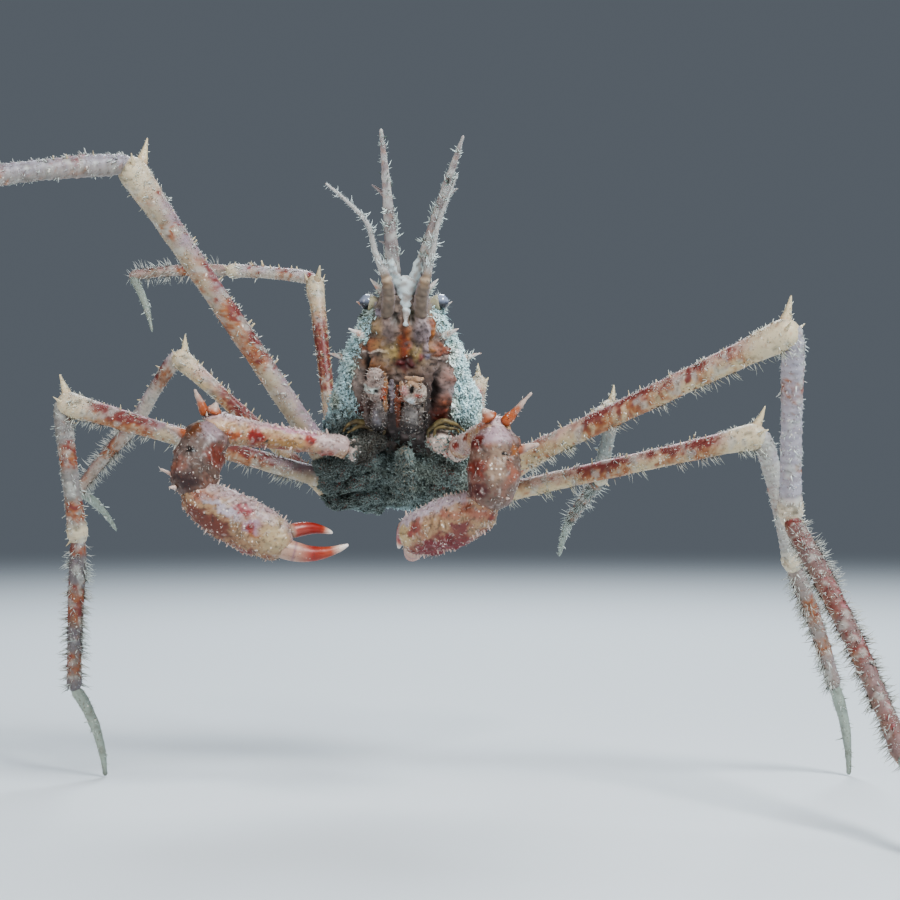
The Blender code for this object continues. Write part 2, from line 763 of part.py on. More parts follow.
def leg_dressing(kind, side, place, stations, girth):
    """Tufts on the upper side of the first two segments and a comb under the third."""
    up = Vector((0.0, 0.0, 1.0))
    front = Vector((0.0, -1.0, 0.3))
    inward = Vector((-0.6 * side, 0.0, -0.8))
    if kind == MERUS:
        tufts = bristles(place, stations, even_spots(0.2, 0.84, 3), up, 1.3)
        return tufts + bristles(place, stations, even_spots(0.34, 0.72, 2), front, 1.2)
    if kind == CARPUS:
        return bristles(place, stations, even_spots(0.25, 0.8, 3), up + Vector((side, 0.0, 0.0)), 1.3)
    if kind == PROPODUS:
        return bristles(place, stations, even_spots(0.16, 0.88, 7), inward, girth * 0.55 + 1.0)
    return []


def make_leg(pair, side_name):
    side = SIDES[side_name]
    girth = LEG_GIRTH[pair]
    places = leg_joints(pair, side_name)
    stands = LEG_POSES[(pair, side_name)][DACTYLUS][1] == FOOT
    before = None
    for kind, segment in enumerate(SEGMENT_NAMES):
        name = "leg%d_%s_%s" % (pair, side_name, segment)
        start, end = places[kind], places[kind + 1]
        along = (end - start).normalized()
        stations = segment_stations(kind, girth)
        bow = (end - start).length * (0.0, 0.02, 0.03, 0.07)[kind]
        if kind == MERUS:
            start = start + along * (GAP / 2)
        if kind == DACTYLUS:
            stations = stations + [(1.0, FOOT_RADIUS if stands else 0.35)]
            if stands:
                end = end + along * 1.0
        place = bowed_path(start, end, bow)
        piece = new_object(name, lambda bm: path_tube(bm, place, stations, LIMB_SIDES))
        pieces = leg_dressing(kind, side, place, stations, girth)
        if kind == MERUS:
            out = (Vector((0.0, 0.0, 1.0)) - along * along.z).normalized()
            root = end - along * girth * 1.2
            tip = end + along * girth * 0.9 + out * girth * 2.6
            pieces.append(spine_object("spine", root, tip, girth * 0.6))
        join_pieces(piece, pieces)
        if before is not None:
            seat_against(piece, before)
        if kind == DACTYLUS and stands:
            cut_at_floor(piece)
        give_material(piece, "banded" if kind in (MERUS, CARPUS) else "shell")
        before = piece


def make_claw(side_name):
    """Merus, carpus, palm with its fixed finger, and the free finger."""
    side = SIDES[side_name]
    up = Vector((0.0, 0.0, 1.0))
    outer = Vector((side, 0.0, 0.0))
    places = [in_world(side * CLAW_ROOT[0], CLAW_ROOT[1], CLAW_ROOT[2])]
    for (azimuth, elevation), length in zip(CLAW_POSES[side_name], CLAW_LENGTHS):
        places.append(places[-1] + heading(side, azimuth, elevation) * length)
    root, wrist, heel, knuckle = places
    prefix = "claw_%s_" % side_name

    arm_path = bowed_path(root + (wrist - root).normalized() * (GAP / 2), wrist, 0.0)
    merus = new_object(prefix + "merus", lambda bm: path_tube(bm, arm_path, MERUS_STATIONS, 9))
    join_pieces(merus, bristles(arm_path, MERUS_STATIONS, (0.35, 0.62, 0.9), up, 1.8, radius=0.8))

    wrist_path = bowed_path(wrist - (heel - wrist) * 0.1, heel, 0.0)
    carpus = new_object(prefix + "carpus", lambda bm: path_tube(bm, wrist_path, CARPUS_STATIONS, 10))
    thorns = bristles(wrist_path, CARPUS_STATIONS, (0.12,), outer + up * 1.6, 4.0, -2.5, 1.2)
    thorns += bristles(wrist_path, CARPUS_STATIONS, (0.35, 0.7), outer, 1.6, 0.0, 0.8)
    join_pieces(carpus, thorns)
    seat_against(carpus, merus)

    palm_path = bowed_path(heel, knuckle, -1.0)
    palm = new_object(prefix + "palm", lambda bm: path_tube(bm, palm_path, PALM_STATIONS, 12, PALM_FLAT))
    across = (knuckle - heel).normalized()
    lift = (up - across * across.z).normalized() * CLAW_FINGERS[side_name]["lift"]
    fixed_reach, free_reach = FINGER_REACH[side_name]
    fixed_tip = knuckle - lift * 0.5 + heading(side, *CLAW_FINGERS[side_name]["fixed"]) * fixed_reach
    fixed = tube_object("fixed", knuckle - lift * 0.55 - across * 4.5, fixed_tip, FIXED_STATIONS, 8, bow=-2.0)
    grains = bristles(palm_path, PALM_STATIONS, even_spots(0.2, 0.8, 4), up, 0.9, 0.3, 0.8)
    grains += bristles(palm_path, PALM_STATIONS, even_spots(0.2, 0.8, 4), -up, 0.9, 0.3, 0.8)
    join_pieces(palm, [fixed] + grains)
    seat_against(palm, carpus)

    free_root = knuckle + lift * 0.75 - across * 2.5
    free_tip = knuckle + lift * 0.9 + heading(side, *CLAW_FINGERS[side_name]["free"]) * free_reach
    free = tube_object(prefix + "finger", free_root, free_tip, FREE_STATIONS, 8, bow=1.2)
    seat_against(free, palm)
    for piece, colour in ((merus, "banded"), (carpus, "claw"), (palm, "claw"), (free, "finger")):
        give_material(piece, colour)


def finish_meshes():
    """Turn every mesh from millimetres to metres."""
    for obj in bpy.context.scene.objects:
        obj.data.transform(Matrix.Scale(MM, 4))
        obj.data.shade_smooth()
        obj.data.set_sharp_from_angle(angle=math.radians(40.0))


def main():
    for obj in list(bpy.data.objects):
        bpy.data.objects.remove(obj)
    carapace, thorax = make_body()
    make_pleon(thorax)
    for side_name in SIDES:
        make_maxilliped(side_name, carapace, thorax)
        spine = make_rostral_spine(side_name, carapace)
        make_eye(side_name, carapace)
        make_antenna(side_name, carapace, spine)
        make_claw(side_name)
        for pair in LEG_LENGTHS:
            make_leg(pair, side_name)
    finish_meshes()


main()
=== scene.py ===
# %% [markdown]
# A spider crab at life size, in its coat of wool.
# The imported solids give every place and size. This script dresses them: smooth shells, granules, spines,
# wool and bristles. Places are worked out in millimetres and turned to metres when a mesh is made.

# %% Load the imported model
import math
import random

import bmesh
import bpy
import numpy as np
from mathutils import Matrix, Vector, noise


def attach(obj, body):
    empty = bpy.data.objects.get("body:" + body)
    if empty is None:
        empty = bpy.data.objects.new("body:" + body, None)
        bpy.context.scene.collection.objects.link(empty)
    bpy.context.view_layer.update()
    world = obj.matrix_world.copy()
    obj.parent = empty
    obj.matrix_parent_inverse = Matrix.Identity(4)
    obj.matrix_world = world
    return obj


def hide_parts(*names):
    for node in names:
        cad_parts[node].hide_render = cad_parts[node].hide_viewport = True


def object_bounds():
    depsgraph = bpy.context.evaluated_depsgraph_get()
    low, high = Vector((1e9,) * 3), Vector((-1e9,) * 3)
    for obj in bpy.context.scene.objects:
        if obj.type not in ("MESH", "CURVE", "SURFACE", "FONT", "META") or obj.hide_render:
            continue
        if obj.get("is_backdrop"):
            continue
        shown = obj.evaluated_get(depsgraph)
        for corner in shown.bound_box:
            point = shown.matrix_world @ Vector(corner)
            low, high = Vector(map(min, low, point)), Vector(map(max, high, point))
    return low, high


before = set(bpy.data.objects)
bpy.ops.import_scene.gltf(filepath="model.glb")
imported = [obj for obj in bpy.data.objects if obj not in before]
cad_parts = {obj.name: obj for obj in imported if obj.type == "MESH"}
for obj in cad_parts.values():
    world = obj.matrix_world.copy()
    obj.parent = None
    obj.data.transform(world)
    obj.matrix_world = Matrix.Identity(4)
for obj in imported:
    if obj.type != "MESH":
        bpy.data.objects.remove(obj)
solid_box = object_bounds()
MM = 0.001
print("nodes:", len(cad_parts))

# %% [markdown]
# The camera stands level, a little over half a metre in front of the face, as the real one did.
# A long lens keeps the near leg and the far legs in the true proportion to each other.

# %% Camera
CAMERA_PLACE = Vector((19.6, -608.5, 94.0))
SENSOR = 36.0
LENS = 85.714

camera = bpy.data.objects.new("camera", bpy.data.cameras.new("camera"))
camera.data.sensor_width = SENSOR
camera.data.lens = LENS
camera.location = CAMERA_PLACE * MM
camera.rotation_euler = (math.radians(90.0), 0.0, 0.0)
bpy.context.scene.collection.objects.link(camera)
bpy.context.scene.camera = camera
print("camera height, mm:", CAMERA_PLACE.z)


# %% [markdown]
# Shader maths reads best as plain expressions. One class stands for a socket and turns + - * / into Math
# nodes, and another adds any other node. Geometry Nodes trees use the same two classes.

# %% Node expressions
class Value:
    """A node's output that can be used in arithmetic."""

    def __init__(self, graph, socket):
        self.graph = graph
        self.socket = socket

    def maths(self, operation, first, second=0.0):
        return self.graph.node("ShaderNodeMath", {"operation": operation}, {0: first, 1: second})

    def __add__(self, other):
        return self.maths("ADD", self, other)

    def __radd__(self, other):
        return self.maths("ADD", other, self)

    def __sub__(self, other):
        return self.maths("SUBTRACT", self, other)

    def __rsub__(self, other):
        return self.maths("SUBTRACT", other, self)

    def __mul__(self, other):
        return self.maths("MULTIPLY", self, other)

    def __rmul__(self, other):
        return self.maths("MULTIPLY", other, self)

    def __truediv__(self, other):
        return self.maths("DIVIDE", self, other)

    def __rtruediv__(self, other):
        return self.maths("DIVIDE", other, self)

    def __pow__(self, other):
        return self.maths("POWER", self, other)

    def step(self, low, high):
        """0 below low, 1 above high, and smooth between."""
        settings = {"interpolation_type": "SMOOTHSTEP"}
        return self.graph.node("ShaderNodeMapRange", settings, {0: self, 1: low, 2: high, 3: 0.0, 4: 1.0})

    def other(self, key):
        """Another output of the same node."""
        return Value(self.graph, self.socket.node.outputs[key])


class Graph:
    """A node tree under construction."""

    def __init__(self, tree):
        self.tree = tree

    def node(self, kind, settings=None, sockets=None, output=0):
        """Add a node, set it up, then give its sockets their values or links."""
        made = self.tree.nodes.new(kind)
        for key, value in (settings or {}).items():
            setattr(made, key, value)
        for key, value in (sockets or {}).items():
            self.plug(made.inputs[key], value)
        return Value(self, made.outputs[output])

    def mix(self, share, first, second, blend="MIX"):
        """Two colours mixed by share."""
        settings = {"data_type": "RGBA", "blend_type": blend}
        return self.node("ShaderNodeMix", settings, {0: share, 6: first, 7: second}, output=2)

    def plug(self, socket, value):
        if isinstance(value, Value):
            self.tree.links.new(value.socket, socket)
        elif isinstance(value, tuple) and socket.type == "RGBA" and len(value) == 3:
            socket.default_value = value + (1.0,)
        else:
            socket.default_value = value


def tone(code):
    """Linear colour from a six-digit sRGB code."""
    parts = [int(code[i:i + 2], 16) / 255.0 for i in (0, 2, 4)]
    return tuple(p / 12.92 if p <= 0.04045 else ((p + 0.055) / 1.055) ** 2.4 for p in parts)


def start_material(name):
    """A new material, the graph of its nodes, and its shader."""
    material = bpy.data.materials.new(name)
    material.use_nodes = True
    return material, Graph(material.node_tree), material.node_tree.nodes["Principled BSDF"]


# %% [markdown]
# A pale floor that fades out with distance keeps the eye on the crab, and it looks the same from every side.
# Three large soft lights stand in for a studio: one high in front, a warmer fill at the side and one behind
# for the edges.

# %% Floor and lights
FLOOR_RADIUS = 1.6
FLOOR_SIDES = 64
FLOOR_COLOUR = (0.70, 0.73, 0.76)
FLOOR_ROUGHNESS = 0.85
FLOOR_FADE = (0.45, 1.5)
LIGHT_TARGET = Vector((0.0, 0.0, 0.1))
# Each light: place in metres, power in watts, size in metres, colour
LIGHTS = {
    "key": ((0.50, -0.62, 0.85), 15.0, 0.4, (0.93, 0.98, 1.0)),
    "fill": ((-0.85, -0.75, 0.40), 5.0, 0.6, (1.0, 0.95, 0.90)),
    "behind": ((0.10, 0.80, 0.85), 9.0, 0.5, (0.85, 0.94, 1.0)),
}
STUDIO_COLOUR = (0.34, 0.39, 0.45)
STUDIO_STRENGTH = 0.32


def make_floor():
    bm = bmesh.new()
    bmesh.ops.create_circle(bm, cap_ends=True, radius=FLOOR_RADIUS, segments=FLOOR_SIDES)
    mesh = bpy.data.meshes.new("floor")
    bm.to_mesh(mesh)
    bm.free()
    floor = bpy.data.objects.new("floor", mesh)
    bpy.context.scene.collection.objects.link(floor)
    material, graph, shader = start_material("pale floor")
    where = graph.node("ShaderNodeTexCoord", output=3)
    distance = graph.node("ShaderNodeVectorMath", {"operation": "LENGTH"}, {0: where}, output=1)
    graph.plug(shader.inputs["Base Color"], FLOOR_COLOUR)
    shader.inputs["Roughness"].default_value = FLOOR_ROUGHNESS
    graph.plug(shader.inputs["Alpha"], 1.0 - distance.step(*FLOOR_FADE))
    mesh.materials.append(material)
    floor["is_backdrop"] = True


def add_light(name, place, power, size, colour):
    light = bpy.data.lights.new(name, "AREA")
    light.energy = power
    light.size = size
    light.color = colour
    lamp = bpy.data.objects.new(name, light)
    lamp.location = place
    lamp.rotation_euler = (LIGHT_TARGET - Vector(place)).to_track_quat("-Z", "Y").to_euler()
    bpy.context.scene.collection.objects.link(lamp)


def make_studio():
    """An even, bluish light from all round."""
    world = bpy.data.worlds.new("studio")
    world.use_nodes = True
    backdrop = world.node_tree.nodes["Background"]
    backdrop.inputs["Color"].default_value = STUDIO_COLOUR + (1.0,)
    backdrop.inputs["Strength"].default_value = STUDIO_STRENGTH
    bpy.context.scene.world = world
    bpy.context.scene.view_settings.look = "AgX - Medium High Contrast"


make_floor()
for name, settings in LIGHTS.items():
    add_light(name, *settings)
make_studio()
print("lights:", ", ".join(LIGHTS))

# %% [markdown]
# The body's own directions come from the solids: its nose is raised, so the mouth faces the camera.
# Body places are (left, ahead, up) in millimetres from the middle of the carapace.

# %% Places on the body
PITCH = math.radians(58.0)
BODY_CENTRE = Vector((7.0, -8.5, 109.0))
LEFT = Vector((1.0, 0.0, 0.0))
AHEAD = Vector((0.0, -math.cos(PITCH), math.sin(PITCH)))
UP = Vector((0.0, math.sin(PITCH), math.cos(PITCH)))
SKYWARD = Vector((0.0, 0.0, 1.0))
FORWARD = Vector((0.0, -1.0, 0.0))
REARWARD = Vector((0.0, 1.0, 0.0))
SIDES = {"left": 1, "right": -1}
# Cross-sections of the body: (ahead, half width, top, level of the widest line, bottom)
BODY_STATIONS = [
    (-34.0, 4.0, 3.0, -1.5, -5.0),
    (-31.0, 12.5, 7.5, -1.5, -8.5),
    (-26.0, 19.5, 12.5, -1.5, -11.0),
    (-18.0, 23.4, 15.8, -1.5, -12.8),
    (-8.0, 23.2, 16.6, -1.5, -13.4),
    (2.0, 20.9, 16.0, -2.0, -13.2),
    (11.0, 18.3, 14.5, -2.0, -11.6),
    (19.0, 15.4, 11.8, -1.5, -9.2),
    (24.5, 11.6, 9.6, -0.5, -7.0),
    (28.5, 7.6, 8.4, 0.5, -4.6),
    (33.0, 6.0, 7.4, 1.5, -2.4),
]
SECTION_POWER = 0.86


def as_row(vector):
    return np.array(tuple(vector))


def in_world(left, ahead, up):
    return BODY_CENTRE + left * LEFT + ahead * AHEAD + up * UP


def body_frame(points):
    """(left, ahead, up) of world points, as columns."""
    away = points - as_row(BODY_CENTRE)
    return away @ as_row(LEFT), away @ as_row(AHEAD), away @ as_row(UP)


def heading(side, azimuth, elevation):
    """Unit vector of a limb segment on the left (+1) or right (-1) side."""
    turn = math.radians(azimuth)
    rise = math.radians(elevation)
    flat = math.cos(rise)
    return Vector((side * flat * math.cos(turn), flat * math.sin(turn), math.sin(rise)))


def between(stations, place):
    """Smoothly interpolated columns of a station list."""
    last = len(stations) - 1
    place = min(max(place, stations[0][0]), stations[last][0])
    k = 0
    while k < last - 1 and place > stations[k + 1][0]:
        k += 1
    t = (place - stations[k][0]) / (stations[k + 1][0] - stations[k][0])
    rows = [stations[max(min(k + i, last), 0)][1:] for i in (-1, 0, 1, 2)]
    found = []
    for a, b, c, d in zip(*rows):
        slope = (c - a) * t + (2 * a - 5 * b + 4 * c - d) * t * t + (3 * b - a - 3 * c + d) * t ** 3
        found.append(b + 0.5 * slope)
    return found


def smooth_step(low, high, value):
    """0 at low, 1 at high, and smooth between, for arrays."""
    t = np.clip((np.asarray(value) - low) / (high - low), 0.0, 1.0)
    return t * t * (3.0 - 2.0 * t)


def lumps(points, size, seed):
    """Noise from -1 to 1 at each point, with features about size across."""
    shift = Vector((seed * 17.3, seed * 5.1, seed * 9.7))
    return np.array([noise.noise(Vector(point) / size + shift) for point in points])


def pigment(code):
    """A colour as an array, for painting points."""
    return np.array(tone(code))


def blended(low, high, share):
    """Each point's colour between low and high."""
    return low + (high - low) * share[:, None]


def wash(tint, colour, share):
    """Lay a colour over the tint of each point, as strongly as share says."""
    tint += (colour - tint) * share[:, None]


def all_over(skin, code):
    """One colour for every point of a skin."""
    return np.tile(tone(code), (len(skin.points), 1))


def towards(skin, direction):
    """How far each point of a skin faces a direction, from -1 to 1."""
    return np.sum(skin.out * as_row(direction), axis=1)


# %% [markdown]
# Most parts of a crab are tubes: leg segments, spines, feelers, even the body. One function lofts rings along
# a path, rounds both ends and remembers for every point where it lies, because paint, wool and bristles all
# ask for that later. It also unwraps the tube, so that each tuft can find its place on the skin.

# %% Skins
class Skin:
    """A mesh in the making: points in millimetres, faces, the unwrap, and facts about each point."""

    def __init__(self):
        self.points = []
        self.faces = []
        self.unwrap = []
        self.place = []
        self.part = []
        self.lie = []
        self.out = []

    def add_tube(self, rows, places, alongs, part, span):
        """Rings of points become a closed tube with a pole at each end; span is its share of the unwrap."""
        first = len(self.points)
        count = len(rows)
        sides = len(rows[0])
        spread = max(places[-1] - places[0], 1e-6)
        share = [span[0] + (span[1] - span[0]) * (p - places[0]) / spread for p in places]
        for row, place, along in zip(rows, places, alongs):
            middle = sum(row, Vector()) / sides
            for j, point in enumerate(row):
                self.points.append(point)
                self.place.append(place)
                self.part.append(part)
                self.lie.append(along)
                self.out.append((point - middle).normalized())
        for k, end in ((0, -1.0), (count - 1, 1.0)):
            self.points.append(sum(rows[k], Vector()) / sides)
            self.place.append(places[k])
            self.part.append(part)
            self.lie.append(alongs[k])
            self.out.append(alongs[k] * end)
        volume = 0.0
        faces = []
        unwrap = []
        for i in range(count - 1):
            for j in range(sides):
                n = (j + 1) % sides
                corners = (first + i * sides + j, first + (i + 1) * sides + j,
                           first + (i + 1) * sides + n, first + i * sides + n)
                faces.append(corners)
                unwrap.append(((j / sides, share[i]), (j / sides, share[i + 1]),
                               ((j + 1) / sides, share[i + 1]), ((j + 1) / sides, share[i])))
        low = first + count * sides
        for j in range(sides):
            n = (j + 1) % sides
            faces.append((low, first + j, first + n))
            unwrap.append(((j / sides, share[0]),) * 3)
            top = first + (count - 1) * sides
            faces.append((low + 1, top + n, top + j))
            unwrap.append(((j / sides, share[-1]),) * 3)
        anchor = self.points[first]
        for face in faces:
            a, b, c = (self.points[k] - anchor for k in face[:3])
            volume += a.dot(b.cross(c))
            if len(face) == 4:
                d = self.points[face[3]] - anchor
                volume += a.dot(c.cross(d))
        if volume < 0.0:
            faces = [face[::-1] for face in faces]
            unwrap = [corners[::-1] for corners in unwrap]
        self.faces += faces
        self.unwrap += unwrap

    def settle(self):
        """Turn the lists into arrays."""
        self.points = np.array([tuple(point) for point in self.points])
        self.lie = np.array([tuple(along) for along in self.lie])
        self.out = np.array([tuple(away) for away in self.out])
        self.place = np.array(self.place)
        self.part = np.array(self.part)
        self.tint = np.ones((len(self.points), 3))

    def swell(self, height):
        """Raise each point outwards by its height."""
        self.points = self.points + self.out * height[:, None]

    def mesh(self, name, tint):
        """A mesh in metres with the unwrap and a tint for each point."""
        mesh = bpy.data.meshes.new(name)
        mesh.from_pydata((self.points * MM).tolist(), [], self.faces)
        layer = mesh.uv_layers.new(name="unwrap")
        layer.data.foreach_set("uv", np.array([xy for face in self.unwrap for xy in face]).ravel())
        store(mesh, "tint", "FLOAT_COLOR", np.column_stack([tint, np.ones(len(tint))]))
        return mesh

    def build(self, name, finish):
        mesh = self.mesh(name, self.tint)
        mesh.shade_smooth()
        mesh.materials.append(finish)
        return link_mesh(name, mesh)


def store(mesh, name, kind, values):
    """Give each point of a mesh a number, a vector or a colour."""
    key = {"FLOAT": "value", "FLOAT_VECTOR": "vector", "FLOAT_COLOR": "color"}[kind]
    mesh.attributes.new(name, kind, "POINT").data.foreach_set(key, np.ravel(values))


def link_mesh(name, mesh):
    obj = bpy.data.objects.new(name, mesh)
    bpy.context.scene.collection.objects.link(obj)
    return obj


# %% [markdown]
# A path is a function that gives a place for each number from 0 to 1. A tube follows it ring by ring, with a
# radius from a short list of stations. A thorn is a short tube whose root is sunk in the shell.

# %% Tubes along a path
def cross_axes(along, facing):
    """Two axes across a path: one wide, one towards facing."""
    thick = facing - along * facing.dot(along)
    if thick.length < 0.05:
        thick = UP - along * UP.dot(along)
    thick.normalize()
    return along.cross(thick), thick


def bowed_path(start, end, bow):
    """A path from start to end that arches by bow along the upright across it."""
    along = (end - start).normalized()
    arch = SKYWARD - along * along.z
    if arch.length < 0.2:
        arch = FORWARD - along * -along.y
    arch.normalize()

    def place(t):
        return start.lerp(end, t) + arch * (bow * 4.0 * t * (1.0 - t))

    return place


def path_through(points):
    """A smooth path through a few places, as a function from 0 to 1."""
    stations = [(i / (len(points) - 1),) + tuple(point) for i, point in enumerate(points)]
    return lambda t: Vector(between(stations, t))


# The first and last rings are moved in from the poles by this share of a step
END_INSET = 0.12


def add_limb_tube(skin, path, stations, sides, step, part, span, flat=1.0, facing=REARWARD):
    """A tube of varying radius along a path, its ends rounded like a fingertip."""
    first, last = stations[0][0], stations[-1][0]
    length = (path(last) - path(first)).length
    count = max(int(length / step), 6)
    rows, places, alongs = [], [], []
    for i in range(count + 1):
        t = first + (last - first) * (i + END_INSET * (1.0 - 2.0 * i / count)) / count
        along = (path(t + 0.01) - path(t - 0.01)).normalized()
        radius = between(stations, t)[0]
        near = min(i, count - i) * length / count + END_INSET * step
        cap = min(radius * 0.8, length * 0.3)
        if near < cap:
            radius *= math.sqrt(1.0 - (1.0 - near / cap) ** 2)
        wide, thick = cross_axes(along, facing)
        centre = path(t)
        row = []
        for j in range(sides):
            turn = 2.0 * math.pi * j / sides
            row.append(centre + wide * (radius * math.cos(turn)) + thick * (radius * flat * math.sin(turn)))
        rows.append(row)
        places.append(t)
        alongs.append(along)
    skin.add_tube(rows, places, alongs, part, span)


THORN_TIP = 0.09
THORN_SPAN = (0.97, 1.0)


def add_thorn(skin, root, tip, radius, part, bow=0.0, sides=10, step=0.35, blunt=0.12):
    """A tapered spine, root sunk in its shell."""
    end = max(radius * blunt, THORN_TIP)
    stations = [(0.0, radius), (0.3, radius * 0.86), (0.7, radius * 0.42), (1.0, end)]
    add_limb_tube(skin, bowed_path(root, tip, bow), stations, sides, step, part, THORN_SPAN)


# %% [markdown]
# Shell, bone and wool are told apart by their finish. The large markings are painted on the points of each
# mesh as the attribute "tint"; the nodes add what is finer than a point: specks, stains, pores and gloss.

# %% Finishes
# Sizes of the patterns, in features per metre
CLOUD_SCALE = 420.0
GRAIN_SCALE = 1500.0
SPECK_SCALE = 900.0
TUFT_SCALE = 1800.0
SHELL_BUMP = 0.00025


def pattern(graph, kind, scale, **more):
    """A noise or cell pattern on the object's own coordinates."""
    where = graph.node("ShaderNodeTexCoord", output=3)
    return graph.node("ShaderNodeTex" + kind, None, {"Vector": where, "Scale": scale, **more})


def tint_paint(graph):
    return graph.node("ShaderNodeAttribute", {"attribute_name": "tint"})


def shell_finish(name, speck_colour, stain_colour, gloss, speck_share, stain_share=0.4):
    """Painted shell with pale granules, stains in the hollows and a fine grain."""
    material, graph, shader = start_material(name)
    cloud = pattern(graph, "Noise", CLOUD_SCALE, Detail=5.0)
    fine = pattern(graph, "Noise", GRAIN_SCALE, Detail=4.0)
    dots = pattern(graph, "Voronoi", SPECK_SCALE)
    speck = (1.0 - dots.step(0.16, 0.34)) * cloud.step(0.62 - speck_share * 0.4, 0.72 - speck_share * 0.4)
    stain = fine.step(0.66 - stain_share * 0.2, 0.78 - stain_share * 0.2) * (1.0 - speck)
    mottle = graph.node("ShaderNodeCombineColor", None, {
        0: 0.78 + cloud * 0.42, 1: 0.74 + cloud * 0.46, 2: 0.72 + cloud * 0.48})
    mottled = graph.mix(0.85, tint_paint(graph), mottle, "MULTIPLY")
    stained = graph.mix(stain * 0.55, mottled, stain_colour)
    graph.plug(shader.inputs["Base Color"], graph.mix(speck * 0.8, stained, speck_colour))
    graph.plug(shader.inputs["Roughness"], gloss + fine * 0.3)
    height = cloud * 0.6 + fine * 0.25 + speck * 0.5
    bump = graph.node("ShaderNodeBump", None, {"Strength": 0.45, "Distance": SHELL_BUMP, "Height": height})
    graph.plug(shader.inputs["Normal"], bump)
    shader.inputs["Subsurface Weight"].default_value = 0.08
    shader.inputs["Subsurface Radius"].default_value = (0.002, 0.001, 0.0006)
    return material


def coat_finish(name, root_colour, roughness, root_share, root_weight=0.75):
    """Wool or bristles: the skin's own tint, washed at the root, with lighter and darker tufts."""
    material, graph, shader = start_material(name)
    height = graph.node("ShaderNodeAttribute", {"attribute_name": "rise"}, output=2)
    luck = graph.node("ShaderNodeAttribute", {"attribute_name": "luck"}, output=2)
    level = 0.80 + luck * 0.26 + pattern(graph, "Noise", TUFT_SCALE, Detail=3.0) * 0.14
    grey = graph.node("ShaderNodeCombineColor", None, {0: level, 1: level, 2: level})
    lit = graph.mix(1.0, tint_paint(graph), grey, "MULTIPLY")
    low = (1.0 - height.step(0.0, root_share)) * root_weight
    graph.plug(shader.inputs["Base Color"], graph.mix(low, lit, root_colour))
    shader.inputs["Roughness"].default_value = roughness
    shader.inputs["Subsurface Weight"].default_value = 0.1
    shader.inputs["Subsurface Radius"].default_value = (0.001, 0.001, 0.001)
    return material


PALE_SPECK = tone("f2e6da")
LIMB_SHELL = shell_finish("limb shell", tone("ece2d6"), tone("5e4a3a"), 0.34, speck_share=0.15)
CLAW_SHELL = shell_finish("claw shell", PALE_SPECK, tone("6a3a2c"), 0.30, speck_share=0.2)
FINGER_SHELL = shell_finish("finger shell", PALE_SPECK, tone("7a2a1c"), 0.22, speck_share=-0.6,
                            stain_share=0.0)
BODY_SKIN = shell_finish("body skin", tone("c9c6bd"), tone("2c2420"), 0.42, speck_share=-0.05,
                         stain_share=0.6)
BONE = shell_finish("rostrum and feelers", tone("dfe0dc"), tone("5c5650"), 0.42, speck_share=-0.1)
BEAD = shell_finish("granules", tone("fbf6f0"), tone("9a7f70"), 0.30, speck_share=0.0, stain_share=0.1)
WOOL = coat_finish("wool", tone("94a6a2"), 0.92, root_share=0.5, root_weight=0.35)
BRISTLE = coat_finish("bristles", tone("7d6f62"), 0.7, root_share=0.25)

# %% [markdown]
# Wool, bristles and granules all repeat over a surface, so Geometry Nodes grow them. The tree scatters points
# evenly, stands a small shape on every point, leans it along the lie of the coat and gives it a patch of the
# unwrap at its root. The instances are realized, because only real mesh is kept.

# %% The growing tree
# Side of the patch of the unwrap that one tuft takes
PATCH = 0.003
# At half its height a tuft is wider than a plain cone by a quarter of this
BELLY = 1.6
# The inputs of a growing tree: (name, kind, value)
GROWTH_INPUTS = [
    ("Spacing", "Float", 0.0004), ("Length", "Float", 0.0016), ("Thickness", "Float", 0.0002),
    ("Lean", "Float", 0.5), ("Splay", "Float", 0.3), ("Curl", "Float", 0.3), ("Blunt", "Float", 0.0),
    ("Smallest", "Float", 0.7), ("Largest", "Float", 1.3), ("Sides", "Int", 3), ("Rings", "Int", 3),
    ("Seed", "Int", 1), ("Finish", "Material", None),
]


def tree_input(tree, name, kind, value=None):
    socket = tree.interface.new_socket(name, in_out="INPUT", socket_type="NodeSocket" + kind)
    if value is not None:
        socket.default_value = value
    return socket.identifier


